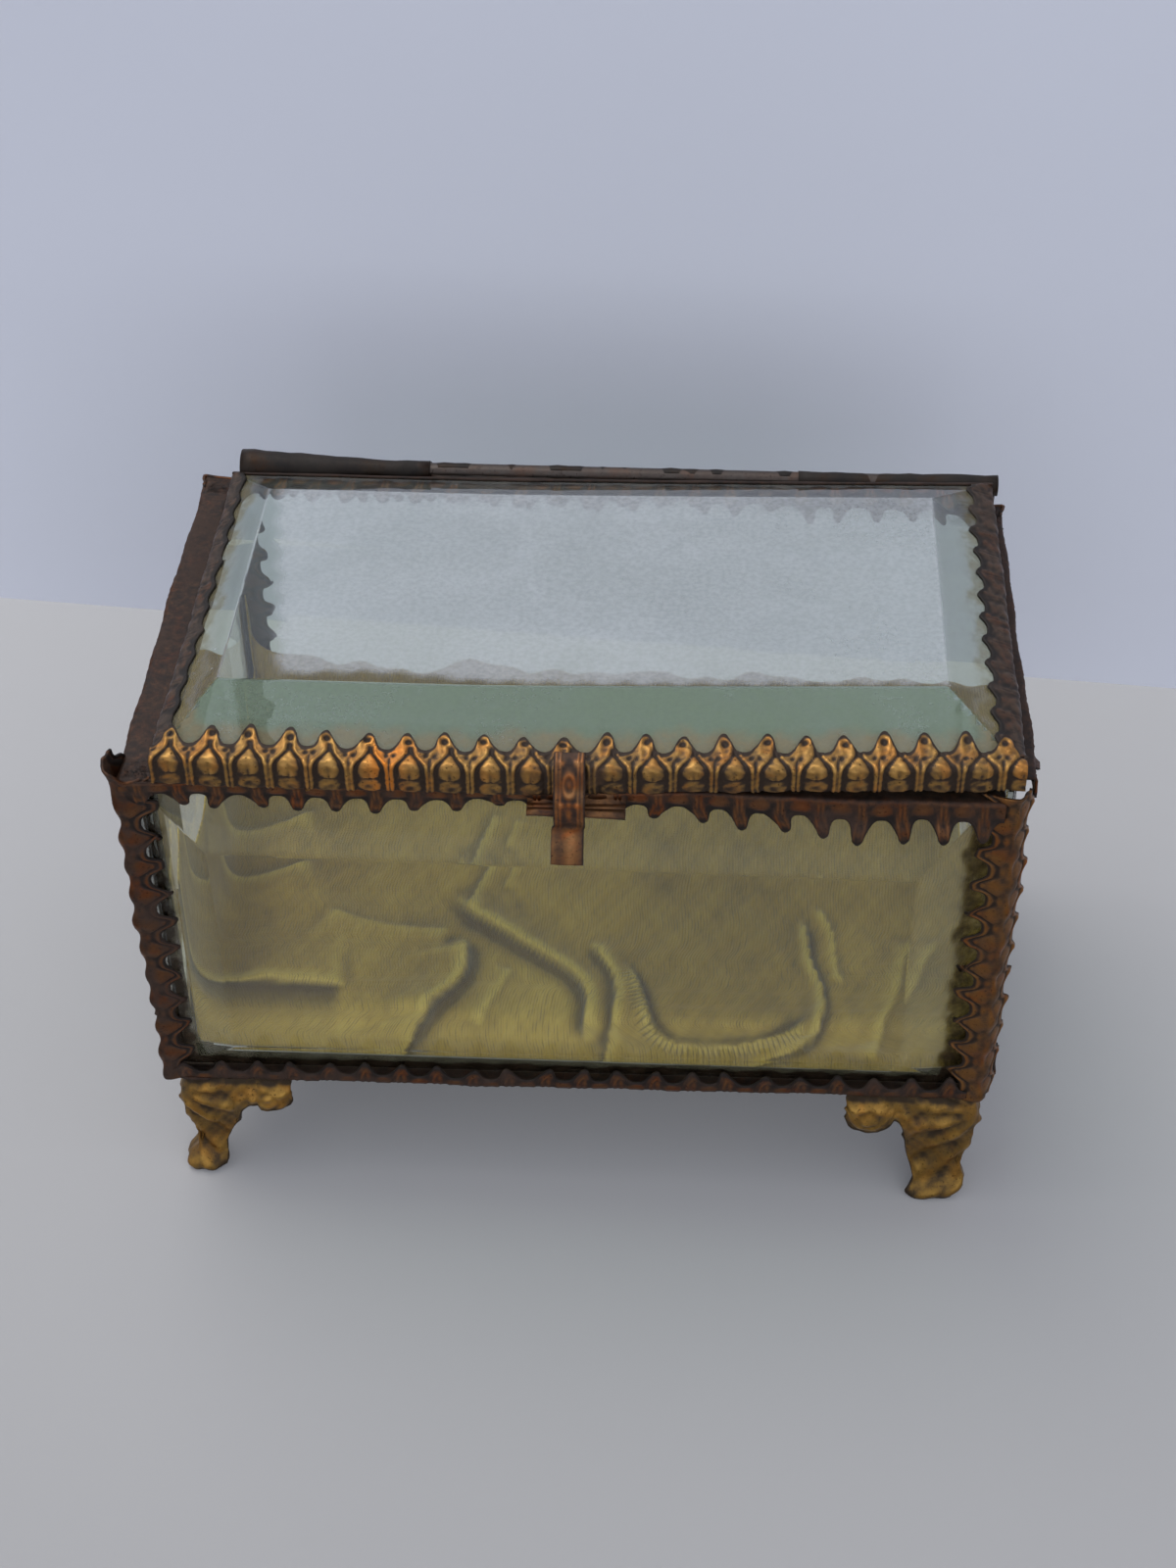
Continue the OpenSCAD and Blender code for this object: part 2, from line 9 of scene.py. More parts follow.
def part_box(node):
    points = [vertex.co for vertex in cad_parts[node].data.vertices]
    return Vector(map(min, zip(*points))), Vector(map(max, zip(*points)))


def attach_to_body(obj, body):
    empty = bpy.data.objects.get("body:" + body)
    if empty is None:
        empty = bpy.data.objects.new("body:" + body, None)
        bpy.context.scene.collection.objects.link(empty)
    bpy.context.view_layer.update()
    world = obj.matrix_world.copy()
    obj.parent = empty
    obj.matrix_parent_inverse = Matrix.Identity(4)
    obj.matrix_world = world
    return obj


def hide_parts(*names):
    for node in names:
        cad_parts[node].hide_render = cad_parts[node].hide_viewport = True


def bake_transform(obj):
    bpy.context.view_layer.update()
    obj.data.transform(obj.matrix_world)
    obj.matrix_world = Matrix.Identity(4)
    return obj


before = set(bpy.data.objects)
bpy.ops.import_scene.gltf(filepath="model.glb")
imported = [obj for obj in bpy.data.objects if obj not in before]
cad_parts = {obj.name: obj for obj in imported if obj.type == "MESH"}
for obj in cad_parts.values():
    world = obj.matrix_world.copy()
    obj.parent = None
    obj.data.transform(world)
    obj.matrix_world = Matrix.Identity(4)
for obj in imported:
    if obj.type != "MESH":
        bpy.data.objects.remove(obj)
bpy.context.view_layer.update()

# ---------- places and sizes, in millimetres ----------
# The case's own coordinates: the origin is under the middle of the case, x to the right, y to the rear.

MM = 0.001
post_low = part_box("post_front_left")[0]
post_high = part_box("post_rear_right")[1]
HALF_W = (post_high.x - post_low.x) / 2 / MM
HALF_D = (post_high.y - post_low.y) / 2 / MM
MIDDLE_Y = (post_high.y + post_low.y) / 2
FOOT_H = post_low.z / MM
WALL_TOP = post_high.z / MM
WALL_H = WALL_TOP - FOOT_H

SIDES = ("front", "rear", "left", "right")
SHEET = 0.36                 # the stamped strip
TOOTH_PITCH = 5.1
TOOTH_H = 2.3
TOOTH_W = 0.215              # as a share of the pitch
POST_BAND = 2.9
TOP_BAND = 3.2
BOTTOM_BAND = 1.6
WALL_BEVELS = dict(top=13.0, bottom=6.0, side=10.0)
LID_BEVELS = dict(front=13.0, rear=8.0, left=6.5, right=9.0)
LID_GLASS_H = 5.0
LID_GLASS_EDGE = 2.0


def case_box(node):
    low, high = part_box(node)
    shift = Vector((0, MIDDLE_Y, 0))
    return (low - shift) / MM, (high - shift) / MM


LID_LOW, LID_HIGH = case_box("lid_strip_front")[0], case_box("lid_strip_rear")[1]
LID_GLASS_LOW, LID_GLASS_HIGH = case_box("lid_glass")
AXIS_Y, AXIS_Z = HALF_D - 1.7, WALL_TOP + 3.6      # the hinge's axis
RACK = 0.95                  # how far the old case has racked at its corners


def racked(p):
    """The case has twisted a little: two opposite corners stand high and two low."""
    p = p.copy()
    lift = np.clip(p[:, 2] / FOOT_H, 0, 1)
    p[:, 2] -= RACK * p[:, 0] / HALF_W * p[:, 1] / HALF_D * lift
    return p


def lid_set(p):
    """The lid has warped: its right-hand side stands higher and a little further back."""
    p = p.copy()
    right = np.clip((p[:, 0] + 15) / 70, 0, 1) ** 1.2
    back = (p[:, 1] + HALF_D) / (HALF_D + AXIS_Y)
    p[:, 2] += 0.5 * back - 0.1 + right * (1.8 - 0.9 * back)
    p[:, 1] += 1.1 * right * np.clip(1 - 0.5 * back, 0, 1)
    return p


def to_frame(p):
    return p * MM + np.array([0, MIDDLE_Y, 0])


def rise(x, low, high):
    t = np.clip((x - low) / (high - low), 0, 1)
    return t * t * (3 - 2 * t)


def hump(d, width):
    return np.exp(-(d / width) ** 2)


def dome(x, y, power=0.5):
    """A rounded boss over the unit circle."""
    return np.clip(1 - x ** 2 - y ** 2, 0, 1) ** power


def waves(draw, weights, u, u_rates, v=0.0, v_rates=(0, 0, 0), phases_to=6.0):
    """A sum of sine waves over u and v, one for each weight, with phases drawn at random."""
    phases = draw.uniform(0, phases_to, len(weights))
    return sum(w * np.sin(u * f + v * g + p) for w, f, g, p in zip(weights, u_rates, v_rates, phases))


def arc_lengths(points):
    return np.r_[0, np.cumsum(np.linalg.norm(np.diff(points, axis=0), axis=1))]


def smoothed(line, times):
    """Cuts the corners of a line of points and keeps its ends."""
    line = np.array(line, float)
    for _ in range(times):
        a, b = line[:-1], line[1:]
        cut = np.stack([a * 0.75 + b * 0.25, a * 0.25 + b * 0.75], 1).reshape(-1, 2)
        line = np.concatenate([line[:1], cut, line[-1:]])
    return line


# ---------- meshes ----------

def link(obj):
    bpy.context.scene.collection.objects.link(obj)
    return obj


def mesh_piece(name, points, faces, material, smooth=True):
    mesh = bpy.data.meshes.new(name)
    mesh.from_pydata([tuple(p) for p in points], [], faces)
    mesh.validate()
    mesh.materials.append(material)
    mesh.polygons.foreach_set("use_smooth", [smooth] * len(mesh.polygons))
    return link(bpy.data.objects.new(name, mesh))


def settle_modifiers(obj):
    """Turns the object's modifiers into plain mesh."""
    evaluated = obj.evaluated_get(bpy.context.evaluated_depsgraph_get())
    mesh = bpy.data.meshes.new_from_object(evaluated)
    obj.modifiers.clear()
    obj.data = mesh
    return obj


def face_outwards(obj):
    bm = bmesh.new()
    bm.from_mesh(obj.data)
    bmesh.ops.recalc_face_normals(bm, faces=bm.faces)
    bm.to_mesh(obj.data)
    bm.free()
    return obj


def thicken(obj, thickness, offset=-1.0):
    solid = obj.modifiers.new("wall", "SOLIDIFY")
    solid.thickness = thickness * MM
    solid.offset = offset
    return face_outwards(settle_modifiers(obj))


def coords(obj):
    co = np.zeros(len(obj.data.vertices) * 3)
    obj.data.vertices.foreach_get("co", co)
    return co.reshape(-1, 3)


def set_coords(obj, p):
    obj.data.vertices.foreach_set("co", p.astype(np.float32).ravel())
    obj.data.update()


def set_attribute(obj, name, values):
    attribute = obj.data.attributes.new(name, "FLOAT", "POINT")
    attribute.data.foreach_set("value", np.asarray(values, np.float32).ravel())


def attach(piece, body, node):
    """Carries a piece on a body, in place of the body's plain node."""
    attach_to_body(piece, body)
    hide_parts(node)


def paint(node, material):
    """Gives its material to a node that stays in sight."""
    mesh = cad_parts[node].data
    mesh.materials.clear()
    mesh.materials.append(material)


def grid_faces(rows, columns):
    """Faces of a grid of points that are listed row by row."""
    corners = (0, 1, columns + 1, columns)
    return [tuple(r * columns + c + k for k in corners) for r in range(rows - 1) for c in range(columns - 1)]


def rounded_path(corners, radius, zero):
    """A path with rounded corners, as arc lengths counted from corner number zero, and its points."""
    corners = [np.array(c, float) for c in corners]
    points = [corners[0]]
    for before, corner, after in zip(corners, corners[1:], corners[2:]):
        a, b = (corner + (end - corner) / np.linalg.norm(end - corner) * radius for end in (before, after))
        for t in np.linspace(0, 1, 7):
            points.append((1 - t) ** 2 * a + 2 * t * (1 - t) * corner + t * t * b)
    points = np.array(points + [corners[-1]])
    lengths = arc_lengths(points)
    nearest = np.argmin(np.linalg.norm(points - corners[zero], axis=1))
    return lengths - lengths[nearest], points


def on_path(path, v):
    """Points on the path at arc lengths v, and the path's normals there, to the left of its direction."""
    lengths, points = path
    slopes = np.gradient(points, lengths, axis=0)
    at = np.stack([np.interp(v, lengths, points[:, i]) for i in (0, 1)], 1)
    slope = np.stack([np.interp(v, lengths, slopes[:, i]) for i in (0, 1)], 1)
    slope /= np.linalg.norm(slope, axis=1)[:, None]
    return at, np.stack([-slope[:, 1], slope[:, 0]], 1)


def side_point(side, u, out, z, low=(-HALF_W, -HALF_D), high=(HALF_W, HALF_D)):
    """A point u along a side, left to right seen from outside, and out from its plane. low and high are the
    corners of the case, or of what else has the side."""
    x, y = {"front": (u, low[1] - out), "rear": (-u, high[1] + out), "right": (high[0] + out, u),
            "left": (low[0] - out, -u)}[side]
    return np.stack([x, y, z], 1)


def side_span(side, node):
    """Where a node starts and ends along its side."""
    low, high = case_box(node)
    return {"front": (low.x, high.x), "rear": (-high.x, -low.x), "right": (low.y, high.y),
            "left": (-high.y, -low.y)}[side]


# ---------- shader groups ----------

class Net:
    """Short hand for building a node tree."""

    def __init__(self, tree):
        self.tree = tree

    def link(self, source, socket):
        self.tree.links.new(source, socket)

    def node(self, kind, inputs=None, **settings):
        node = self.tree.nodes.new("ShaderNode" + kind)
        for name, value in settings.items():
            setattr(node, name, value)
        for key, value in (inputs or {}).items():
            self.feed(node.inputs[key], value)
        return node

    def feed(self, socket, value):
        if isinstance(value, bpy.types.NodeSocket):
            self.link(value, socket)
        else:
            socket.default_value = value

    def math(self, operation, a, b=0.0, clamp=False):
        return self.node("Math", {0: a, 1: b}, operation=operation, use_clamp=clamp).outputs[0]

    def plus(self, a, b, clamp=False):
        return self.math("ADD", a, b, clamp)

    def times(self, a, b, clamp=False):
        return self.math("MULTIPLY", a, b, clamp)

    def mix(self, factor, a, b, blend="MIX"):
        node = self.node("Mix", {"Factor": factor}, data_type="RGBA", blend_type=blend)
        for number, colour in ((6, a), (7, b)):
            self.feed(node.inputs[number], (*colour, 1) if isinstance(colour, tuple) else colour)
        return node.outputs[2]

    def ramp(self, value, low, high, to_low=0.0, to_high=1.0):
        return self.node("MapRange", {"Value": value, "From Min": low, "From Max": high, "To Min": to_low,
                                      "To Max": to_high}, interpolation_type="SMOOTHSTEP").outputs[0]

    def noise(self, vector, scale, detail=3.0, rough=0.5, distort=0.0):
        return self.node("TexNoise", {"Vector": vector, "Scale": scale, "Detail": detail, "Roughness": rough,
                                      "Distortion": distort}).outputs[0]

    def place(self):
        return self.node("TexCoord").outputs["Object"]

    def attribute(self, name):
        return self.node("Attribute", attribute_name=name).outputs["Fac"]

    def bump(self, height, strength, distance):
        return self.node("Bump", {"Height": height, "Strength": strength, "Distance": distance}).outputs[0]

    def principled(self, inputs):
        return self.node("BsdfPrincipled", inputs).outputs[0]


def new_group(name, inputs, outputs):
    """A shader group. inputs gives each input's label and value; an output named Color is a colour."""
    tree = bpy.data.node_groups.new(name, "ShaderNodeTree")
    for label, value in inputs.items():
        kind = "NodeSocketColor" if isinstance(value, tuple) else "NodeSocketFloat"
        tree.interface.new_socket(label, in_out="INPUT", socket_type=kind).default_value = value
    for label in outputs:
        kind = "NodeSocketColor" if label == "Color" else "NodeSocketFloat"
        tree.interface.new_socket(label, in_out="OUTPUT", socket_type=kind)
    return Net(tree), tree.nodes.new("NodeGroupInput").outputs, tree.nodes.new("NodeGroupOutput").inputs


def build_aged_metal():
    """Stamped brass that is bright on its raised parts, brown in its hollows and dull in patches."""
    net, given, out = new_group(
        "aged_metal", {"Raised": (0.5, 0.3, 0.1, 1), "Hollow": (0.03, 0.02, 0.01, 1), "Dullness": 0.5,
                       "Dull": (0.06, 0.04, 0.03, 1), "Relief": 0.5, "Copper": 0.0, "Warm": 0.0},
        ("Color", "Metallic", "Roughness", "Height"))
    place = net.place()
    patches = net.noise(place, 140, 4, 0.6, 0.4)
    grain = net.noise(place, 900, 4, 0.65)
    specks = net.noise(place, 2600, 2, 0.5)
    shaken = net.plus(given["Relief"], net.times(net.math("SUBTRACT", grain, 0.5), 0.55))
    raised = net.ramp(shaken, 0.22, 0.80)
    worn = net.ramp(shaken, 0.66, 1.0)
    dull_from = net.math("SUBTRACT", 0.98, net.times(given["Dullness"], 0.75))
    dull = net.node("MapRange", {"Value": patches, "From Min": dull_from,
                                 "From Max": net.plus(dull_from, 0.16)}).outputs[0]
    dull = net.times(dull, net.ramp(grain, 0.25, 0.6, 0.55, 1.0))
    tint = net.mix(net.ramp(net.noise(place, 210, 3, 0.5, 0.8), 0.42, 0.68), (1, 1, 1), (1.15, 0.72, 0.5))
    tinted = net.mix(given["Copper"], given["Raised"], net.mix(1.0, given["Raised"], tint, "MULTIPLY"))
    bright = net.mix(1.0, tinted, (1.5, 1.5, 1.45), "MULTIPLY")
    colour = net.mix(raised, given["Hollow"], net.mix(worn, tinted, bright))
    colour = net.mix(dull, colour, given["Dull"])
    colour = net.mix(net.times(given["Warm"], raised), colour, (0.62, 0.20, 0.03))
    net.link(net.mix(net.ramp(specks, 0.62, 0.72, 0.0, 0.75), colour, given["Hollow"]), out["Color"])
    net.link(net.times(net.ramp(raised, 0, 1, 0.45, 0.95), net.ramp(dull, 0, 1, 1.0, 0.55)), out["Metallic"])
    net.link(net.plus(net.ramp(raised, 0, 1, 0.62, 0.34), net.times(dull, 0.22), True), out["Roughness"])
    net.link(net.plus(net.times(grain, 0.7), net.times(specks, 0.3)), out["Height"])
    return net.tree


def build_grime_and_painted_light():
    """Dust and grime lying on a pane: thin all over, thicker near the metal. Near the metal its dark colour
    is dirt and, on the wall panes, also a painted shade in the gaps behind the metal's teeth. The Flat input
    also carries painted highlights along the ridges round a pane's flat.
    """
    net, given, out = new_group(
        "pane_grime", {"Near metal": 0.0, "Flat": 1.0, "Bloom": 0.2, "Edge": 0.6, "Veil": 0.0,
                       "Dust": (0.7, 0.75, 0.78, 1), "Dirt and gap shade": (0.12, 0.09, 0.05, 1),
                       "Veil color": (0.140, 0.180, 0.128, 1)},
        ("Color", "Alpha"))
    place = net.place()
    clouds = net.noise(place, 60, 5, 0.6, 0.6)
    fine = net.noise(place, 1500, 3, 0.6)
    blots = net.noise(place, 420, 4, 0.65)
    near = net.times(given["Near metal"], net.ramp(blots, 0.25, 0.7, 0.45, 1.2))
    near = net.times(near, given["Edge"], True)
    bloom = net.times(given["Bloom"], net.ramp(clouds, 0.3, 0.7, 0.9, 1.1))
    bloom = net.times(net.times(bloom, net.ramp(fine, 0.3, 0.7, 0.84, 1.14)), given["Flat"])
    specks = net.times(net.ramp(net.noise(place, 1100, 2, 0.4), 0.74, 0.80), given["Bloom"])
    veil = net.times(given["Veil"], net.ramp(clouds, 0.3, 0.7, 0.82, 1.08))
    veil = net.times(veil, net.ramp(fine, 0.3, 0.7, 0.9, 1.08))
    tint = net.mix(net.ramp(veil, 0.0, 0.1), given["Dust"], given["Veil color"])
    net.link(net.mix(net.times(near, 2.4, True), tint, given["Dirt and gap shade"]), out["Color"])
    layers = net.math("MAXIMUM", net.math("MAXIMUM", near, specks), net.math("MAXIMUM", bloom, veil))
    net.link(layers, out["Alpha"])
    return net.tree


def build_weave():
    """Ribbed silk: fine warp threads crossed by thicker, uneven weft ribs, with faded and stained places."""
    net, given, out = new_group(
        "ribbed_weave", {"Rib": 0.42, "Thread": 0.2}, ("Height", "Gap", "Fade", "Stain"))
    uv = net.node("UVMap", uv_map="cut").outputs[0]
    place = net.place()
    wander = net.node("TexNoise", {"Vector": uv, "Scale": 0.12, "Detail": 2.0}).outputs[1]
    moved = net.node("MixRGB", {"Fac": 1.0, "Color1": uv, "Color2": wander}, blend_type="ADD").outputs[0]
    parts = net.node("SeparateXYZ", {"Vector": moved}).outputs
    ribs, threads = (net.math("SINE", net.math("DIVIDE", net.times(part, 6.2832), given[label]))
                     for part, label in ((parts[0], "Rib"), (parts[1], "Thread")))
    stretched = net.node("Mapping", {"Vector": uv, "Scale": (2.6, 0.35, 1)}).outputs[0]
    slubs = net.noise(stretched, 1.0, 3, 0.6)
    net.link(net.plus(net.plus(net.times(ribs, 0.5), net.times(threads, 0.22)), slubs), out["Height"])
    net.link(net.times(net.ramp(ribs, -0.2, -1.0), net.ramp(slubs, 0.44, 0.62)), out["Gap"])
    net.link(net.noise(place, 55, 3, 0.5, 0.5), out["Fade"])
    net.link(net.ramp(net.noise(place, 95, 4, 0.6, 0.7), 0.52, 0.74), out["Stain"])
    return net.tree


AGED_METAL = build_aged_metal()
PANE_GRIME_AND_PAINTED_LIGHT = build_grime_and_painted_light()
RIBBED_WEAVE = build_weave()


# ---------- materials ----------

def new_material(name):
    """A new material, its net and the socket for its surface."""
    material = bpy.data.materials.new(name)
    material.use_nodes = True
    material.node_tree.nodes.clear()
    net = Net(material.node_tree)
    return material, net, net.node("OutputMaterial").inputs[0]


def metal_material(name, raised, hollow, dull, dullness, copper, relief=None):
    """Aged metal whose bright and dark places follow the mesh's relief, or are all at one relief."""
    material, net, surface = new_material(name)
    looks = {"Raised": (*raised, 1), "Hollow": (*hollow, 1), "Dull": (*dull, 1), "Dullness": dullness,
             "Copper": copper, "Relief": relief}
    if relief is None:
        looks.update({"Relief": net.attribute("relief"), "Warm": net.attribute("warm")})
    metal = net.node("Group", looks, node_tree=AGED_METAL).outputs
    net.link(net.principled({
        "Base Color": metal["Color"], "Metallic": metal["Metallic"], "Roughness": metal["Roughness"],
        "Normal": net.bump(metal["Height"], 0.25, 0.0001)}), surface)
    return material


def glass_material(name, tint):
    """Clear glass that lets light through to what lies behind it."""
    material, net, surface = new_material(name)
    glass = net.principled({"Base Color": (*tint, 1), "Roughness": 0, "IOR": 1.5, "Transmission Weight": 1})
    clear = net.node("BsdfTransparent", {"Color": (*tint, 1)}).outputs[0]
    path = net.node("LightPath").outputs
    unseen = net.math("MAXIMUM", path["Is Shadow Ray"], path["Is Diffuse Ray"])
    net.link(net.node("MixShader", {0: unseen, 1: glass, 2: clear}).outputs[0], surface)
    return material


def grime_and_painted_light_material(name, bloom, edge, dust, dirt_and_gap_shade):
    material, net, surface = new_material(name)
    grime = net.node("Group", {
        "Bloom": bloom, "Edge": edge, "Dust": (*dust, 1), "Dirt and gap shade": (*dirt_and_gap_shade, 1), "Flat": net.attribute("flat"),
        "Near metal": net.attribute("near_metal"), "Veil": net.attribute("veil")},
        node_tree=PANE_GRIME_AND_PAINTED_LIGHT).outputs
    net.link(net.principled({"Base Color": grime["Color"], "Alpha": grime["Alpha"], "Roughness": 0.9,
                             "Specular IOR Level": 0.0}), surface)
    return material


def silk_material():
    material, net, surface = new_material("old_gold_silk")
    weave = net.node("Group", {"Rib": 0.42, "Thread": 0.2}, node_tree=RIBBED_WEAVE).outputs
    colour = net.mix(net.ramp(weave["Fade"], 0.3, 0.7), (0.295, 0.170, 0.014), (0.385, 0.230, 0.026))
    colour = net.mix(net.times(weave["Stain"], 0.55), colour, (0.18, 0.10, 0.012))
    # Painted light: lighter on the tops of the folds and along the front, and in some paler places.
    colour = net.mix(net.times(net.attribute("crest"), 0.7, True), colour, (0.60, 0.42, 0.085))
    colour = net.mix(net.times(weave["Gap"], 0.7), colour, (0.10, 0.06, 0.016))
    # Painted shade: darker in the creases and hollows of the folds, as the attribute hollow gives.
    colour = net.mix(net.times(net.attribute("hollow"), 1.0, True), colour, (0.035, 0.017, 0.003))
    drawn = net.node("SeparateXYZ", {"Vector": net.node("UVMap", uv_map="gathers").outputs[0]}).outputs
    strokes = net.times(net.math("SINE", net.times(drawn[0], 9.0)), drawn[1])
    colour = net.mix(net.ramp(strokes, 0.2, 0.9, 0.0, 0.6), colour, (0.09, 0.055, 0.015))
    height = net.plus(weave["Height"], net.times(strokes, 1.5))
    net.link(net.principled({
        "Base Color": colour, "Roughness": 0.5, "Sheen Weight": 0.25, "Sheen Roughness": 0.35,
        "Normal": net.bump(height, 0.6, 0.00014)}), surface)
    return material


def soft_material(name, light, dark, scale, roughness, strength):
    material, net, surface = new_material(name)
    fibres = net.noise(net.place(), scale, 5, 0.7, 1.5)
    net.link(net.principled({
        "Base Color": net.mix(net.ramp(fibres, 0.3, 0.7), dark, light), "Roughness": roughness,
        "Normal": net.bump(fibres, strength, 0.0003)}), surface)
    return material


def stage_material(name, colour, lets_light_by=False, painted_far_light=0.0, glow=0.0):
    """Plain paint, unseen from behind. painted_far_light is how much paler it gets away from the viewer, a
    painted light that grows towards the back.
    """
    material, net, surface = new_material(name)
    place = net.place()
    paler = net.ramp(net.noise(place, 3.0, 2, 0.5), 0.3, 0.7)
    tone = net.mix(paler, tuple(0.97 * c for c in colour), tuple(1.03 * c for c in colour))
    depth = net.node("SeparateXYZ", {"Vector": place}).outputs[1]
    # Painted light: paler towards the back.
    tone = net.mix(net.ramp(depth, -0.28, 0.12, 0.0, painted_far_light), tone, (1, 1, 1))
    paint_shader = net.principled({
        "Base Color": tone, "Roughness": 0.85, "Specular IOR Level": 0.1,
        "Emission Color": (0.82, 0.86, 1.0, 1), "Emission Strength": glow})
    clear = net.node("BsdfTransparent").outputs[0]
    back = net.node("NewGeometry").outputs["Backfacing"]
    if lets_light_by:
        back = net.math("MAXIMUM", back, net.node("LightPath").outputs["Is Shadow Ray"])
    net.link(net.node("MixShader", {0: back, 1: paint_shader, 2: clear}).outputs[0], surface)
    return material


# For each metal the colours of its raised parts, hollows and dull patches, its dullness and its copper tone
METALS = (
    ("gilt_brass", (0.35, 0.195, 0.058), (0.026, 0.014, 0.007), (0.10, 0.052, 0.026), 0.50, 0.5),
    ("aged_brass", (0.15, 0.068, 0.031), (0.012, 0.0065, 0.004), (0.040, 0.021, 0.013), 0.66, 0.7),
    ("dull_brass", (0.13, 0.083, 0.054), (0.013, 0.009, 0.006), (0.045, 0.031, 0.022), 0.62, 0.8),
    ("aged_gold_brass", (0.23, 0.105, 0.033), (0.020, 0.010, 0.004), (0.070, 0.034, 0.014), 0.55, 0.6),
    ("clasp_brass", (0.25, 0.12, 0.048), (0.026, 0.013, 0.008), (0.075, 0.04, 0.022), 0.55, 0.8),
    ("foot_gilt", (0.29, 0.165, 0.040), (0.032, 0.018, 0.006), (0.09, 0.052, 0.017), 0.42, 0.3),
    ("dark_brass", (0.044, 0.029, 0.019), (0.007, 0.0045, 0.003), (0.014, 0.010, 0.007), 0.7, 0.5),
    ("pin_steel", (0.10, 0.085, 0.075), (0.03, 0.02, 0.015), (0.09, 0.04, 0.02), 0.6, 0.2, 0.6))
GILT, AGED, DULL_BRASS, AGED_GOLD, CLASP_BRASS, FOOT_GILT, DARK, PIN_STEEL = (
    metal_material(*looks) for looks in METALS)
WALL_PANE = glass_material("wall_pane", (0.93, 0.965, 0.935))
LID_PANE = glass_material("lid_pane", (0.79, 0.88, 0.80))
# The lid's film holds dust and grime, and painted highlights along the ridges round its flat.
LID_GRIME_AND_HIGHLIGHTS = grime_and_painted_light_material("lid_grime_and_highlights", 0.56, 0.8, (0.432, 0.452, 0.468), (0.19, 0.165, 0.10))
# The wall panes' film is near black by the metal: grime, and a painted shade in the gaps behind the teeth.
WALL_GRIME_AND_GAP_SHADE = grime_and_painted_light_material("wall_grime_and_gap_shade", 0.024, 1.0, (0.46, 0.44, 0.28), (0.03, 0.02, 0.012))
SILK = silk_material()
WADDING = soft_material("wadding", (0.72, 0.68, 0.58), (0.55, 0.50, 0.40), 260, 0.9, 0.4)
CARD = soft_material("card", (0.42, 0.31, 0.19), (0.30, 0.21, 0.12), 700, 0.8, 0.2)


# ---------- stamped borders ----------

def border_tree():
    """Repeats one length of stamped strip along a line and joins the lengths into one."""
    tree = bpy.data.node_groups.new("stamped_border", "GeometryNodeTree")
    for label, kind in (("Geometry", "Geometry"), ("Tile", "Object"), ("Count", "Int"), ("Pitch", "Float"),
                        ("Finish", "Material")):
        tree.interface.new_socket(label, in_out="INPUT", socket_type="NodeSocket" + kind)
    tree.interface.new_socket("Geometry", in_out="OUTPUT", socket_type="NodeSocketGeometry")
    given, result, step, line, tile, copies, real, merged, finish = (tree.nodes.new(kind) for kind in (
        "NodeGroupInput", "NodeGroupOutput", "ShaderNodeCombineXYZ", "GeometryNodeMeshLine",
        "GeometryNodeObjectInfo", "GeometryNodeInstanceOnPoints", "GeometryNodeRealizeInstances",
        "GeometryNodeMergeByDistance", "GeometryNodeSetMaterial"))
    merged.inputs["Distance"].default_value = 0.0005
    given = given.outputs
    for source, target in (
            (given["Pitch"], step.inputs["X"]), (given["Count"], line.inputs["Count"]),
            (step.outputs[0], line.inputs["Offset"]), (given["Tile"], tile.inputs["Object"]),
            (line.outputs[0], copies.inputs["Points"]), (tile.outputs["Geometry"], copies.inputs["Instance"]),
            (copies.outputs[0], real.inputs[0]), (real.outputs[0], merged.inputs[0]),
            (merged.outputs[0], finish.inputs["Geometry"]), (given["Finish"], finish.inputs["Material"]),
            (finish.outputs[0], result.inputs[0])):
        tree.links.new(source, target)
    return tree


BORDER_TREE = border_tree()


def toothed(s, band, height=0.0, width=TOOTH_W, shift=0.0):
    """How far out an edge lies over one pitch: a band and one round-tipped tooth of the given height."""
    return band + height * np.exp(-(np.abs((s + shift) % 1 - 0.5) / width) ** 2.3)


def border(name, length, low, high, rows, columns, material):
    """A flat toothed strip from u = 0 to length. low and high are what toothed() takes for its two edges.
    Returns the strip, its vertices' u and v in millimetres, the number of teeth and their real spacing."""
    count = max(1, round(length / TOOTH_PITCH))
    step = length / count
    s = np.linspace(0, 1, columns)
    low, high = toothed(s, *low), toothed(s, *high)
    v = low + np.linspace(0, 1, rows)[:, None] * (high - low)
    points = np.stack([np.broadcast_to(s * step, v.shape).ravel(), v.ravel(), np.zeros(v.size)], 1)
    tile = mesh_piece("tile", points, grid_faces(rows, columns), material)
    strip = mesh_piece(name, [(0, 0, 0)], [], material)
    modifier = strip.modifiers.new("border", "NODES")
    modifier.node_group = BORDER_TREE
    values = {"Tile": tile, "Count": count, "Pitch": step, "Finish": material}
    for item in BORDER_TREE.interface.items_tree:
        if item.in_out == "INPUT" and item.name in values:
            modifier[item.identifier] = values[item.name]
    settle_modifiers(strip)
    bpy.data.objects.remove(tile)
    strip.data.polygons.foreach_set("use_smooth", [True] * len(strip.data.polygons))
    flat = coords(strip)
    return strip, flat[:, 0], flat[:, 1], count, step


def knocked(u, v, band, step, count, seed, along=0.35, out=0.3):
    """Wear on the teeth: each leans a little along the strip and in or out, and the strip itself wavers."""
    draw = np.random.default_rng(seed)
    lean, bend, short = (draw.normal(0, spread, count + 1) for spread in (along, out, 0.10))
    k = np.clip((u / step).astype(int), 0, count)
    tip = rise(np.abs(v), band, band + 2.2)
    waver = waves(draw, (0.10, 0.10, 0.10), u, (0.09, 0.21, 0.47), phases_to=6.28)
    sway = waves(draw, (0.05, 0.05, 0.05), u, (0.13, 0.33, 0.8), phases_to=6.28)
    return u + lean[k] * tip, v * (1 + short[k] * tip * 0.6) + sway, bend[k] * tip + waver


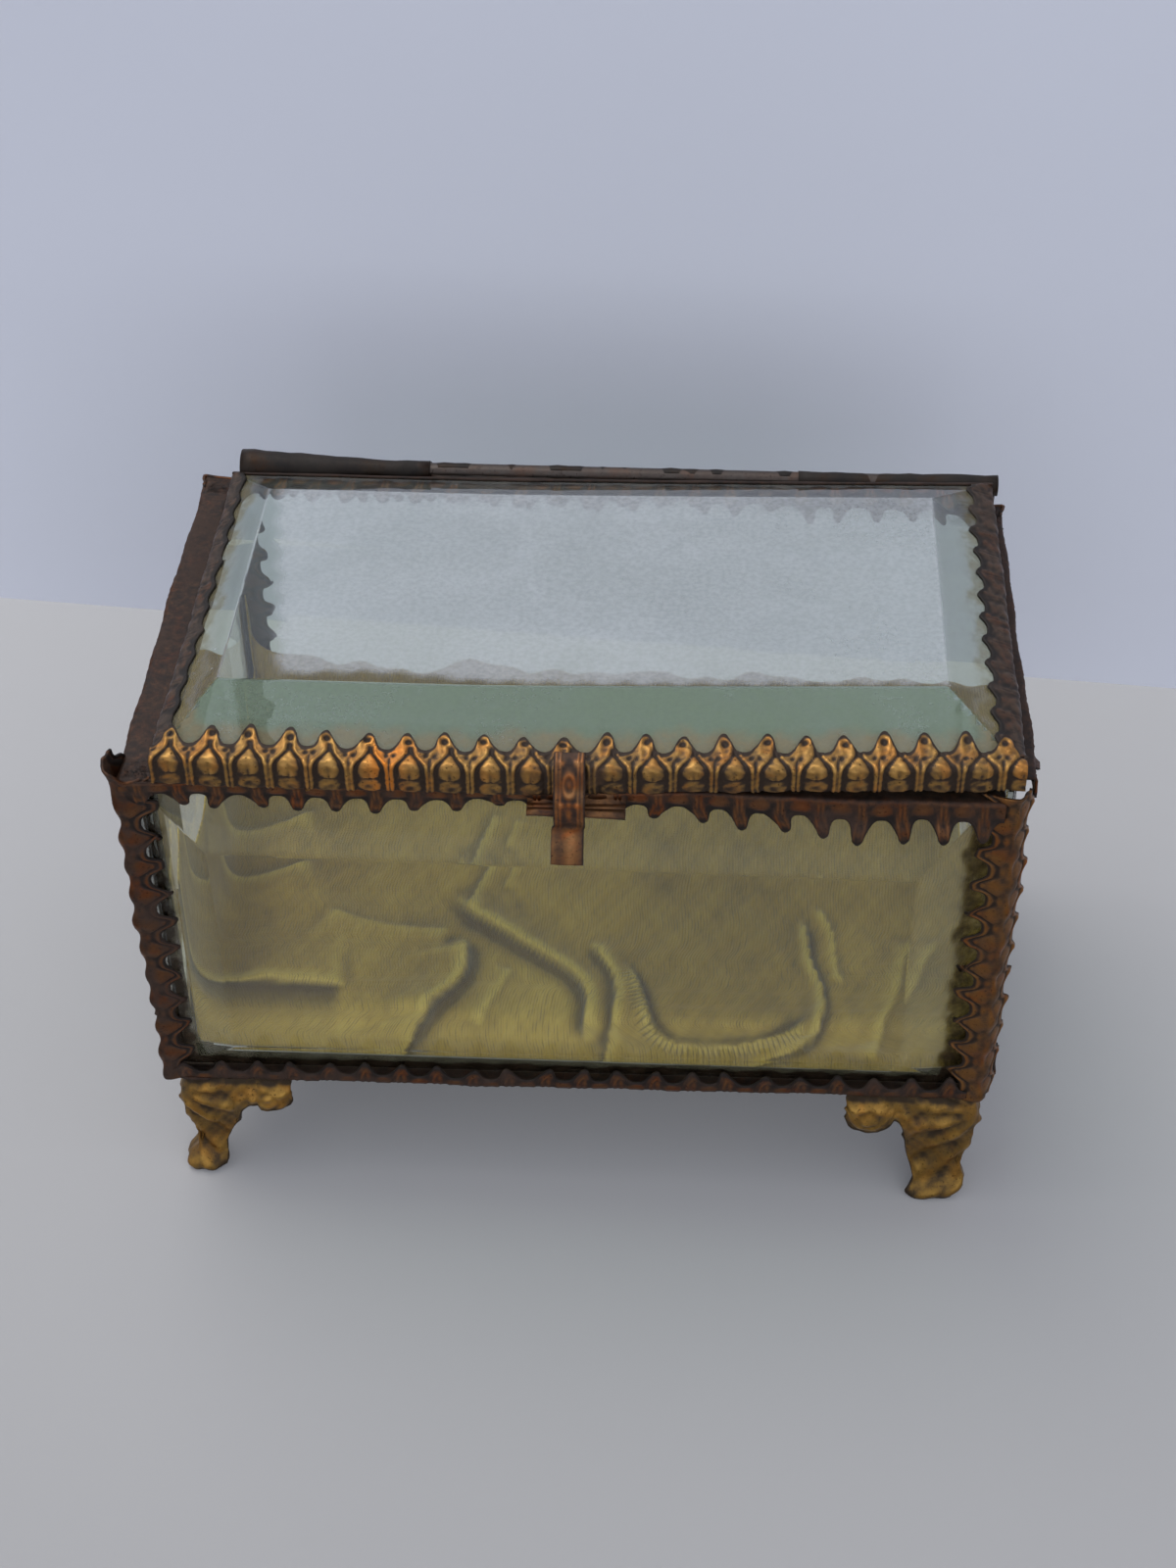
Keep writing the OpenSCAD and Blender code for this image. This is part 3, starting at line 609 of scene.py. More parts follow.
def arch_relief(u, v, valley, step):
    """Stamping of the lid's front strip, v from its lower edge: pointed arches holding a heart over an oval
    boss, pairs of flutes between the arches, and a pierced hole ringed with metal on each tooth."""
    x = u % TOOTH_PITCH - TOOTH_PITCH / 2
    side = np.abs(x)
    arch = np.clip((v - 0.5 * valley) / (0.5 * valley), 0, 1)
    width = 1.78 * (0.5 + 0.5 * np.cos(math.pi * arch)) + 0.12
    within = rise(width - side, -0.15, 0.15) * rise(valley + 0.3 - v, 0, 0.4)
    groove = hump(side - width, 0.26) * rise(valley + 0.9 - v, 0, 0.5)
    lip = hump(side - width - 0.48, 0.2) * rise(v, 0.3, 0.7) * rise(valley + 1.0 - v, 0, 0.6)
    low, high = 0.38 * valley, valley + 0.1
    s = np.clip((v - low) / (high - low), 0, 1)
    half = np.maximum(4.4 * s ** 0.5 * (1 - s) ** 1.5, 0.02)
    heart = dome(x / half, 0) * rise(half, 0.05, 0.5)
    heart -= 0.7 * hump(x, 0.2) * hump(v - low - 0.35, 0.4) + 0.3 * hump(np.hypot(x, v - low - 1.0), 0.35)
    oval = dome(x / 1.55, (v - 0.2 * valley) / (0.185 * valley))
    oval -= 0.55 * dome(x / 0.9, (v - 0.17 * valley) / 0.55, 0.8)
    between = np.abs(side - TOOTH_PITCH / 2)
    flutes = hump(between - 0.52, 0.24) * rise(v, 0.2, 0.6) * rise(0.72 * valley - v, 0, 0.8)
    seam = hump(between, 0.17) * rise(0.85 * valley - v, 0, 0.6)
    holes = hump(np.hypot(between - 0.5, v - 0.86 * valley), 0.3)
    k = np.floor(u / step)
    across = u - (k + 0.5) * step - 0.22 * np.sin(k * 2.3)
    away = np.hypot(across, v - valley - 1.5 - 0.2 * np.sin(k * 1.7))
    pierced = hump(away, 0.42)
    ring = hump(away - 0.72, 0.22)
    wing = rise(v, valley - 0.6, valley + 1)
    wings = hump(np.abs(across) - 0.42 - 0.3 * wing, 0.2) * rise(v, valley - 0.9, valley)
    ground = 0.60 - 0.42 * within
    held = (0.62 * np.clip(heart, -0.3, 1) + 0.50 * oval) * within
    raised = held + 0.28 * flutes + 0.20 * (lip + wings) + 0.22 * ring
    groove *= 1 - 0.8 * np.clip(heart + oval, 0, 1)
    return ground + raised - 0.55 * groove - 0.45 * seam - 0.6 * holes - 0.75 * pierced


def scallop_relief(u, v, step, band, height):
    """Stamping of the posts' strips: a rolled rim following the teeth, with a boss and a dot under each."""
    s = (u / step) % 1
    across = (s - 0.5) * step
    edge = toothed(s, band, height)
    rim = hump(v - edge + 0.55, 0.30)
    boss = dome(across / 1.7, (v - band * 0.62) / (band * 0.42))
    dot = hump(np.hypot(across, v - band - 0.55), 0.4)
    between = hump(np.abs(across) - step / 2, 0.5) * rise(v, 0.4, 1.0) * rise(band - 0.4 - v, 0, 0.8)
    groove = hump(v - edge + 1.25, 0.30) * rise(v, 0.8, 1.4)
    return 0.36 + 0.30 * boss + 0.32 * rim + 0.34 * dot + 0.22 * between - 0.30 * groove


def oval_relief(u, v, step, band):
    """Stamping of the narrower strips: an oval boss between the teeth, and a ridge running out into each
    tooth that forks round a dot near the tip."""
    across = ((u / step) % 1 - 0.5) * step
    off = np.abs(across)
    boss = dome((step / 2 - off) / 1.35, (v - band * 0.47) / (band * 0.36))
    fork = hump(off - 0.25 - 0.38 * rise(v, band * 0.5, band + 1.2), 0.2) * rise(v, 0.3, 0.8)
    dot = hump(np.hypot(across, v - band - 1.45), 0.33)
    edge = hump(v - 0.25, 0.3)
    crease = hump(v - band * 0.95, 0.3) * rise(off, 0.7, 1.2)
    return 0.34 + 0.42 * boss + 0.52 * fork + 0.55 * dot + 0.2 * edge - 0.30 * crease


def finish_strip(strip, points, relief, dark_edge, body, node, inner, warm=None):
    """Gives a flat strip its final shape, its wear and its thickness."""
    set_coords(strip, to_frame(points))
    set_attribute(strip, "relief", np.clip(relief - dark_edge, 0, 1.2))
    if warm is not None:
        set_attribute(strip, "warm", warm)
    thicken(strip, SHEET, inner)
    attach(strip, body, node)


def rim_shade(s, v, band, height=TOOTH_H):
    """How near a point is to the toothed edge."""
    edge = toothed(s, band, height)
    return 0.75 * rise(v, edge - 0.55, edge - 0.05)


# The posts: one strip folded down its middle, toothed on both sides

LEAN_IN = 1.4                # how far the wings lean in towards the glass
TEETH_SHIFT = 0.45           # the share of a pitch by which the two rows of teeth differ


def post_border(place, fold_x, sign_x, sign_y, open_by, seed, material, side_teeth=TOOTH_H,
                wall_band=POST_BAND, wall_teeth=TOOTH_H, pulled_up=0.0):
    """fold_x is where the fold is, open_by the angle its side wing has sprung open and pulled_up how far its
    top end has been pulled out of place."""
    reach = wall_band + TOOTH_H + 1.0
    fold = np.array([fold_x * sign_x, HALF_D * sign_y])
    front_end = fold + np.array([-sign_x * reach, -sign_y * LEAN_IN])
    side_end = fold + np.array([sign_x * math.sin(open_by), -sign_y * math.cos(open_by)]) * reach
    if open_by == 0:
        side_end[0] -= sign_x * LEAN_IN
    path = rounded_path([front_end, fold, side_end], 0.8, 1)
    turn = sign_x * sign_y
    strip, u, v, count, step = border(
        f"post_border_{place}", WALL_H, (-wall_band, -wall_teeth, TOOTH_W, TEETH_SHIFT),
        (POST_BAND, side_teeth), 37, 19, material)
    s = (u / step) % 1
    band = np.where(v < 0, wall_band, POST_BAND)
    shade = rim_shade(np.where(v < 0, (s + TEETH_SHIFT) % 1, s), np.abs(v), band)
    relief = np.where(v < 0, scallop_relief(u + TEETH_SHIFT * step, -v, step, wall_band, TOOTH_H),
                      scallop_relief(u, v, step, POST_BAND, side_teeth))
    relief += 0.35 * hump(v, 0.45) * (0.6 + 0.4 * np.sin(u * 0.9 + seed))
    u2, v2, out = knocked(u, v, band, step, count, seed)
    at, normal = on_path(path, v2)
    out = out + 0.25 * np.sin(u * 6.2832 / step + 0.8) * (1 - rise(np.abs(v), 0.5, 2.5))
    end_up = rise(u, WALL_H - 5.5, WALL_H) * rise(v, -2.0, 1.0)
    at = at + normal * turn * (out + 0.50 * relief - 0.15 + 0.3 * pulled_up * end_up)[:, None]
    points = np.stack([at[:, 0], at[:, 1], FOOT_H + np.clip(u2, 0.15, WALL_H + 0.3) + pulled_up * end_up], 1)
    finish_strip(strip, racked(points), relief, shade, "carcass", f"post_{place}", -turn)


FRONT_RIGHT_FOLD = case_box("foot_front_right")[1].x - 0.1
splay = math.asin(min(0.99, (HALF_W - FRONT_RIGHT_FOLD) / (POST_BAND + TOOTH_H)))
post_border("front_left", HALF_W, -1, -1, 0, 11, AGED, pulled_up=3.0)
post_border("front_right", FRONT_RIGHT_FOLD, 1, -1, splay, 12, AGED_GOLD, 1.3)
post_border("rear_left", HALF_W, -1, 1, 0, 13, AGED, wall_band=7.4, wall_teeth=1.3)
post_border("rear_right", HALF_W, 1, 1, 0, 14, AGED)


# The rails along the top of the walls, folded over the glass, and along the bottom, folded under it

def top_rail(side, seed, shape=None, rows=24, columns=15, inner=2.7, top_band=TOP_BAND, tooth_h=TOOTH_H):
    """inner is how far the rail laps down inside the glass. shape gives the teeth's scale, how far they flare
    out and how far the rail drops along it."""
    start, end = side_span(side, f"top_rail_{side}")
    fold = -5.2
    outer = -0.35
    path = rounded_path([(fold, WALL_TOP - inner), (fold, WALL_TOP - 0.1), (outer, WALL_TOP - 0.1),
                         (-0.75, WALL_TOP - 8)], 0.5, 2)
    strip, u, v, count, step = border(
        f"top_border_{side}", end - start, (fold - outer - inner + 0.3,), (top_band, tooth_h), rows, columns,
        AGED)
    face = rise(v, -0.6, 0.2)
    relief = oval_relief(u, v, step, top_band) * face + 0.35 * (1 - face)
    shade = rim_shade((u / step) % 1, v, top_band, tooth_h)
    u2, v2, out = knocked(u, v, top_band, step, count, seed)
    along = start + u2
    drop = 0.0
    if shape is not None:
        scale, flare, drop = shape(along)
        v2 = np.where(v2 > 0, v2 * scale, v2)
        out = out + flare * rise(v, 0.5, top_band + tooth_h) ** 1.3
    at, normal = on_path(path, v2)
    at = at + normal * ((out + 0.38 * relief - 0.12) * face)[:, None]
    points = side_point(side, along, at[:, 0], at[:, 1] + drop)
    finish_strip(strip, racked(points), relief, shade, "carcass", f"top_rail_{side}", 1)


def front_rail_shape(x):
    """The front rail is pushed up behind the clasp and pulled down and outwards towards the right."""
    right = rise(x, 12, 40)
    scale = 0.74 + 0.26 * rise(x, 4, 18) - 0.11 * hump(x + 8, 9) + 0.10 * right
    return scale, 1.3 * right, -0.7 * right


def bottom_rail(side, seed):
    start, end = side_span(side, f"bottom_rail_{side}")
    ledge = 7.0
    path = rounded_path([(-0.35 - ledge, FOOT_H + 0.15), (-0.35, FOOT_H + 0.15), (-0.2, FOOT_H + 7)], 0.4, 1)
    strip, u, v, count, step = border(
        f"bottom_border_{side}", end - start, (0.3 - ledge,), (BOTTOM_BAND, TOOTH_H), 16, 13, AGED)
    face = rise(v, -0.5, 0.1)
    relief = oval_relief(u, v * 1.6, step, BOTTOM_BAND * 1.6) * face + 0.35 * (1 - face)
    shade = rim_shade((u / step) % 1, v, BOTTOM_BAND)
    u2, v2, out = knocked(u, v, BOTTOM_BAND, step, count, seed)
    at, normal = on_path(path, v2)
    at = at + normal * (0.6 * out * face)[:, None]
    points = side_point(side, start + u2, at[:, 0] + 0.3 * relief * face, at[:, 1])
    finish_strip(strip, racked(points), relief, shade, "carcass", f"bottom_rail_{side}", -1)


top_rail("front", 21, front_rail_shape, rows=30, columns=19, top_band=2.6, tooth_h=2.9)
top_rail("rear", 22, inner=0.9)
top_rail("left", 23)
top_rail("right", 24, lambda x: (1.0, 1.0, 0.0))
for number, side in enumerate(SIDES):
    bottom_rail(side, 31 + number)


# The lid's strips, folded under its glass and lying on its bevels

LID_EDGE_Z = LID_GLASS_LOW.z + LID_GLASS_EDGE
LID_FACE_Z = LID_GLASS_LOW.z + LID_GLASS_H
LID_TOOTH_W = 0.235


def lid_top(x, y):
    """Height of the lid glass's upper surface."""
    low, high = LID_GLASS_LOW, LID_GLASS_HIGH
    heights = [(y - low.y) / LID_BEVELS["front"], (high.y - y) / LID_BEVELS["rear"],
               (x - low.x) / LID_BEVELS["left"], (high.x - x) / LID_BEVELS["right"]]
    return LID_EDGE_Z + (LID_FACE_Z - LID_EDGE_Z) * np.clip(np.minimum.reduce(heights), 0, 1)


def lid_border(side, start, end, seed, material, band, tooth_h, rows, columns, cover=0.0, hang=0.0):
    """cover is how far the strip lies above the glass and hang how far it hangs below the solid's edge."""
    slope = (LID_FACE_Z - LID_EDGE_Z) / LID_BEVELS[side]
    under = LID_LOW.z - hang
    top = LID_EDGE_Z + 0.3 + cover
    web = top - under
    if side == "rear":
        path = rounded_path([(-1.2, top + 1.2 * slope), (0, top), (0, under), (-12, under)], 0.5, 2)
        back, outwards = -(web + 0.9), 1
    else:
        path = rounded_path([(-3.2, under), (0, under), (0, top), (-12, top + 12 * slope)], 0.8, 2)
        back, outwards = -(web + 2.9), -1
    strip, u, v, count, step = border(
        f"lid_border_{side}", end - start, (back,), (band, tooth_h, LID_TOOTH_W), rows, columns, material)
    face = rise(v, -web - 0.5, -web + 0.3)
    depth, along, out_by, warm = 0.36, 0.3, 0.12, None
    if side == "front":
        relief = arch_relief(u, v + web, band + web, step)
        relief *= np.random.default_rng(seed + 7).uniform(0.75, 1.12, count + 2)[(u / step).astype(int)]
        relief += 0.13 * np.sin(u * 2.9 + 3 * np.sin(v * 1.7)) * np.sin(v * 3.3 + 1.6 * np.sin(u * 0.7))
        depth, along, out_by, warm = 0.42, 0.22, 0.16, hump(u + start + 23.5, 2.2)
    else:
        relief = oval_relief(u, v + web * 0.5, step, band + web * 0.5)
        if side != "rear":
            dents = np.sin(u * 2.3 + 2 * np.sin(v * 1.9 + u * 0.31))
            dents *= np.sin(v * 2.7 + u * 0.9 + 2 * np.sin(u * 0.47))
            relief = 0.26 + 0.4 * relief + 0.2 * dents
    relief = relief * face + 0.3 * (1 - face)
    edge = toothed(u / step, band, tooth_h, LID_TOOTH_W)
    shade = 0.8 * rise(v, edge - 0.75, edge - 0.1)
    u2, v2, out = knocked(u, v, band, step, count, seed, along, out_by)
    at, normal = on_path(path, v2)
    at = at + outwards * normal * ((0.5 * out + depth * relief - 0.10) * face)[:, None]
    points = side_point(side, start + u2, at[:, 0], at[:, 1], LID_LOW, LID_HIGH)
    x, y, z = points.T
    if side != "rear":
        resting = lid_top(x, y) + cover + 0.42 + depth * (relief - 0.3) + 0.4 * np.maximum(out, 0)
        z = np.where(v > 0.3, np.minimum(z, resting), z)
    if side == "front":
        z = z - (0.7 * hump(x + 5, 18) + 0.55 * rise(-x, 12, 40)) * rise(-v, 0.2, 1.2)
    points = lid_set(np.stack([x, y, z], 1))
    finish_strip(strip, points, relief, shade, "lid", f"lid_strip_{side}", outwards, warm)


lid_border("front", LID_LOW.x, LID_HIGH.x, 41, GILT, 2.5, 2.9, 58, 27, cover=0.15, hang=1.0)
lid_border("rear", -LID_HIGH.x, -LID_LOW.x, 42, AGED, 4.8, TOOTH_H, 22, 15)
lid_border("left", -LID_HIGH.y + 1, -LID_LOW.y - 2.5, 43, DULL_BRASS, 2.1, 0.6, 26, 17)
lid_border("right", LID_LOW.y + 2.5, LID_HIGH.y - 1, 44, DULL_BRASS, 3.1, 1.0, 26, 17)


# ---------- glass ----------

def pane_corners(low, high, inset, far_right=None):
    (a0, b0), (a1, b1) = low, high
    left, right, near, far = inset
    return [(a0 + left, b0 + near), (a1 - right, b0 + near), (a1 - right, b1 - (far_right or far)),
            (a0 + left, b1 - far)]


def bevelled_pane(name, node, material, back, slot, place, low, high, bevels, edge, face, body, move,
                  far_right=None):
    """A pane with a bevelled outer face. place turns (a, b, height) into case coordinates; back, edge and
    face are the heights of the flat back, the thin edge and the flat of the outer face. far_right is the far
    bevel's width at its right-hand end, where that was ground unevenly."""
    flat = pane_corners(low, high, bevels, far_right)
    rim = pane_corners(low, high, (0, 0, 0, 0))
    p = np.array([(a, b, z) for ring, z in ((rim, back), (rim, edge), (flat, face)) for a, b in ring])
    faces = [(3, 2, 1, 0), (8, 9, 10, 11)]
    for i in range(4):
        j = (i + 1) % 4
        faces += [(i, j, j + 4, i + 4), (i + 4, j + 4, j + 8, i + 8)]
    pane = face_outwards(mesh_piece(name, to_frame(place(*p.T)), faces, material, smooth=False))
    soft = pane.modifiers.new("arris", "BEVEL")
    soft.width = 0.14 * MM
    soft.segments = 2
    soft.limit_method = "ANGLE"
    soft.angle_limit = math.radians(6)
    settle_modifiers(pane)
    bm = bmesh.new()
    bm.from_mesh(pane.data)
    long_edges = [e for e in bm.edges if e.calc_length() > 5 * MM]
    bmesh.ops.subdivide_edges(bm, edges=long_edges, cuts=15, use_grid_fill=True)
    bm.to_mesh(pane.data)
    bm.free()
    set_coords(pane, to_frame(move((coords(pane) - np.array([0, MIDDLE_Y, 0])) / MM)))
    attach(pane, body, node)


def grid_lines(start, end, count, ridges):
    """Evenly spaced grid lines, with closer ones on both sides of each ridge."""
    near = [ridge + step for ridge in ridges for step in (-0.5, -0.25, -0.1, 0.0, 0.1, 0.25, 0.5)]
    return np.unique(np.r_[np.linspace(start, end, count), near])


def grime_and_painted_light_film(name, material, seed, covered, dirt_and_gap_shade, on_bevels, place, low, high, bevels, edge, face, body,
               move, far_right=None, reach=2.9, veil=0.0, arris=(0, 0, 0, 0), kept=None):
    """Dust lying on a pane's outer face, a hair above it. covered is how far metal laps over each edge and
    dirt_and_gap_shade how much dark film lies near each edge: grime and, on the wall panes, also a painted
    shade in the gaps behind the metal's teeth. The bevels hold the share on_bevels of the dust on the flat,
    and arris gives the strength of painted highlights along the ridges round the flat, thin lines in the
    dust's colour. kept gives how much dust has stayed at each place."""
    inset, hair = 0.4, 0.04
    left, right = low[0] + bevels[0], high[0] - bevels[1]
    a = grid_lines(low[0] + inset, high[0] - inset, 121, (left, right))
    b = grid_lines(low[1] + inset, high[1] - inset, 81, (low[1] + bevels[2], high[1] - bevels[3]))
    aa, bb = (g.ravel() for g in np.meshgrid(a, b))
    inward = np.array([aa - low[0], high[0] - aa, bb - low[1], high[1] - bb])
    widths = np.array(bevels)[:, None] * np.ones_like(aa)
    widths[3] = np.interp(aa, [left, right], [bevels[3], far_right or bevels[3]])
    shares = inward / widths
    share = np.min(shares, axis=0)
    height = edge + (face - edge) * np.clip(share, 0, 1)
    ripple = waves(np.random.default_rng(seed), (1, 1, 1), aa, (0.3, 0.9, 1.7), bb, (0.5, -0.8, 1.3))
    gap = inward - np.array(covered)[:, None]
    near_edge = rise(reach + 0.12 * reach * ripple - gap, 0, 0.75 * reach)
    near = np.max(np.array(dirt_and_gap_shade)[:, None] * near_edge, axis=0)
    points = to_frame(move(place(aa, bb, height + hair)))
    film = mesh_piece(name, points, grid_faces(len(b), len(a)), material)
    set_attribute(film, "near_metal", near)
    on_near_bevel = share > shares[2] - 0.01
    set_attribute(film, "veil", veil * rise(1.02 - shares[2], 0, 0.05) * on_near_bevel)
    there = np.broadcast_to(on_bevels, 4)[np.argmin(shares, axis=0)]
    flat = there + (1 - there) * rise(share, 0.92, 1.02)
    if kept is not None:
        flat = flat * kept(aa, bb)
    # Painted highlights: thin pale lines in the dust's colour along the ridges round the flat, as strong as
    # arris gives for each edge.
    off_ridge = inward - widths
    lines = np.max(np.array(arris)[:, None] * hump(off_ridge, 0.17), axis=0)
    set_attribute(film, "flat", flat + lines * (np.min(off_ridge, axis=0) > -0.35))
    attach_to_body(film, body)


def wall_pane(side, seed):
    node = f"{side}_glass"
    low, high = case_box(node)
    start, end = side_span(side, node)
    bevels = [WALL_BEVELS[edge] for edge in ("side", "side", "bottom", "top")]
    far_right, on_bevels = None, 1.0
    if side == "front":
        bevels[3], far_right, on_bevels = 12.2, 14.6, 5.0
    shape = dict(place=lambda a, b, h: side_point(side, a, h, b), low=(start, low.z), high=(end, high.z),
                 bevels=bevels, edge=-3.0, face=-0.8, body="carcass", move=racked, far_right=far_right)
    bevelled_pane(f"{side}_pane", node, WALL_PANE, -4.8, "wall_pane", **shape)
    # Near the metal this film is grime and a painted shade in the deep gaps behind the teeth, darkest at the
    # bottom.
    grime_and_painted_light_film(f"{side}_pane_grime", WALL_GRIME_AND_GAP_SHADE, seed, (POST_BAND, POST_BAND, BOTTOM_BAND, TOP_BAND - 1),
               (0.6, 0.75, 0.9, 0.35), on_bevels, reach=1.7, **shape)


for number, side in enumerate(SIDES):
    wall_pane(side, 51 + number)


def lid_dust(a, b):
    """The lid's dust has been wiped off along its left-hand side and along the front of its flat."""
    left_to = LID_GLASS_LOW.x + 9.5 - 0.16 * (b - 10) + 0.35 * np.sin(b * 1.23)
    front_to = LID_GLASS_LOW.y + LID_BEVELS["front"] + 0.4 + 1.7 * hump(a + 27, 13) + 0.25 * np.sin(a * 1.3)
    stayed = rise(a - left_to, -1.0, 1.3) * rise(b - front_to, -0.7, 1.0)
    return (0.10 + 0.90 * stayed) * (1 - 0.10 * rise(a, 0, 45))


LID_SHAPE = dict(place=lambda a, b, h: np.stack([a, b, h], 1), low=LID_GLASS_LOW.xy, high=LID_GLASS_HIGH.xy,
                 bevels=[LID_BEVELS[edge] for edge in ("left", "right", "front", "rear")], edge=LID_EDGE_Z,
                 face=LID_FACE_Z, body="lid", move=lid_set)
bevelled_pane("lid_pane", "lid_glass", LID_PANE, LID_GLASS_LOW.z, "lid_pane", **LID_SHAPE)
grime_and_painted_light_film("lid_pane_grime", LID_GRIME_AND_HIGHLIGHTS, 55, (2.1, 3.1, 3.6, 0.2), (0.65, 0.60, 0.6, 0.3),
           (0.32, 0.30, 0.02, 0.05), veil=0.86, arris=(0.6, 0.15, 0.2, 0.0), kept=lid_dust, **LID_SHAPE)
paint("floor_glass_pane", WALL_PANE)


# ---------- hinge and catch ----------

TUBE_SHEET = 0.34


def rolled_tube(name, node, centre, radius, leaf, body, material, move, seed, swell=None,
                inner=-1.0):
    """A sheet rolled into a tube round (y, z) = centre, its free edge lapping inside and its other edge
    running on as a flat leaf down to leaf = (y, z). swell gives how far the tube opens along its length."""
    low, high = case_box(node)
    x = np.linspace(low.x, high.x, max(8, int((high.x - low.x) / 1.6)))
    dents = waves(np.random.default_rng(seed), (0.05, 0.05, 0.05), x, (0.35, 0.8, 1.9))
    r = (radius * (1 + (swell(x) if swell else 0)) + dents)[:, None]
    turns = np.linspace(math.radians(-300), 0, 34)
    rolled = r - TUBE_SHEET * (1 - np.linspace(0, 1, len(turns))) ** 0.6
    down = np.array([0.12, 0.3, 0.6, 1.0])
    flat = r + (leaf[0] - centre[0] - r) * np.minimum(1, 3 * down)
    y = centre[0] + np.hstack([rolled * np.cos(turns), flat])
    z = centre[1] + np.hstack([rolled * np.sin(turns), np.tile((leaf[1] - centre[1]) * down, (len(x), 1))])
    p = np.stack([np.broadcast_to(x[:, None], y.shape), y, z], 2).reshape(-1, 3)
    tube = mesh_piece(name, to_frame(move(p)), grid_faces(*y.shape), material)
    set_attribute(tube, "relief", 0.45 + 0.15 * np.sin(p[:, 0] * 0.7 + np.sin(p[:, 2])))
    thicken(tube, TUBE_SHEET, inner)
    attach(tube, body, node)


def lid_roll_flip(p):
    """The lid's tube is rolled the other way, its leaf towards the front."""
    p = p.copy()
    p[:, 1] = 2 * AXIS_Y - p[:, 1]
    return p


bar_low, bar_high = case_box("catch_tube")
BAR_MIDDLE = 1.2


def catch_flip(p):
    """The catch is rolled the other way too, and sits a little higher."""
    p = p.copy()
    p[:, 1] = 2 * (bar_low.y + BAR_MIDDLE) - p[:, 1]
    p[:, 2] += 0.35
    return p


axis, leaf_foot = (AXIS_Y, AXIS_Z), (HALF_D - 0.2, WALL_TOP - 3.0)
rolled_tube("hinge_roll_left", "hinge_tube_left", axis, 1.8, leaf_foot, "carcass", DARK, np.copy, 61,
            lambda x: 0.6 * rise(-x, 30, 54))
rolled_tube("hinge_roll_right", "hinge_tube_right", axis, 1.6, leaf_foot, "carcass", DARK, np.copy, 62,
            lambda x: 0.12 * rise(x, 40, 57))
rolled_tube("hinge_roll_lid", "hinge_tube_lid", axis, 1.5, (AXIS_Y + 1.55, AXIS_Z - 2.2), "lid", DARK,
            lid_roll_flip, 63, inner=1.0)
paint("hinge_pin", PIN_STEEL)
rolled_tube("catch_roll", "catch_tube", (bar_low.y + BAR_MIDDLE, bar_low.z + BAR_MIDDLE), 1.1,
            (bar_low.y + 0.1, WALL_TOP - 0.6), "carcass", CLASP_BRASS, catch_flip, 64,
            inner=1.0)


# The clasp: one embossed strip from the lid's front edge, over the catch and out to a curled lip

def clasp_strip():
    lip_y, lip_z = case_box("clasp_tongue")[0].yz + Vector((0.1, 0.1))
    edge_y, edge_z = LID_LOW.y, LID_EDGE_Z
    bar_y, bar_z = bar_low.yz
    spine = smoothed([
        (edge_y + 1.5, edge_z + 1.75), (edge_y + 0.6, edge_z + 1.6), (edge_y - 0.3, edge_z + 1.1),
        (edge_y - 0.9, edge_z + 0.1), (edge_y - 1.3, edge_z - 2.2), (edge_y - 2.1, bar_high.z + 0.9),
        (bar_y - 0.75, bar_high.z - 0.5), (bar_y - 0.8, bar_z + 0.7), (bar_y - 0.35, bar_z - 0.3),
        (bar_y - 0.45, bar_z - 1.2), (lip_y + 0.9, lip_z + 2.2), (lip_y + 0.35, lip_z + 0.9),
        (lip_y, lip_z)], 3)
    lengths = arc_lengths(spine)
    along = np.linspace(0, lengths[-1], 84)
    y, z = (np.interp(along, lengths, spine[:, i]) for i in (0, 1))
    dy, dz = np.gradient(y), np.gradient(z)
    n = np.hypot(dy, dz)
    across = np.linspace(-1, 1, 29)
    a, c = (g.ravel() for g in np.meshgrid(along, across, indexing="ij"))
    y, z, ny, nz = (np.repeat(values, len(across)) for values in (y, z, dz / n, -dy / n))
    lip = rise(a, 10.6, 11.4)
    x = c * (2.0 + 0.08 * lip)
    off = np.abs(x)
    frame_edge = hump(off - 1.62, 0.2)
    inner_line = hump(off - 1.12, 0.14) * 0.6
    ring = hump(np.hypot(x / 0.72, (a - 4.6) / 1.5) - 1, 0.30)
    eye = 0.5 * hump(np.hypot(x, (a - 4.6) * 0.6), 0.3)
    beads = hump(np.hypot(off - 1.0, a - 7.3), 0.36) + hump(np.hypot(off - 1.0, a - 1.6), 0.36)
    tail = hump(x, 0.3) * (hump(a - 8.6, 0.7) + hump(a - 7.2, 0.3))
    stamped = 0.30 + 0.4 * frame_edge + 0.7 * inner_line + 0.65 * ring + eye + 0.7 * beads + 0.5 * tail
    level = stamped * (1 - lip) + (0.62 + 0.2 * np.sin(x * 2.1 + 0.6)) * lip
    lift = 0.34 * (level - 0.3) * (1 - lip) + 0.12 * lip * (1 - c * c)
    p = np.stack([x - 0.15 - 0.25 * lip, y + ny * lift, z + nz * lift], 1)
    p[:, 2] += 0.6 * np.clip((p[:, 2] - lip_z) / 8, 0, 1)
    strip = mesh_piece("clasp_strip", to_frame(p), grid_faces(len(along), len(across)), CLASP_BRASS)
    set_attribute(strip, "relief", np.minimum(level, 1.1) - 0.3 * hump(np.abs(c) - 1, 0.08))
    thicken(strip, TUBE_SHEET, 1.0)
    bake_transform(strip)
    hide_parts("clasp_root", "clasp_tongue")


clasp_strip()


# ---------- feet ----------

FOOT_WING = 18.0
BOW = np.array([(0, 0.9), (0.08, 0.7), (0.18, -0.4), (0.31, -0.9), (0.46, -0.5), (0.62, 0.5), (0.77, 1.1),
                (0.9, 0.6), (1, -0.2)])


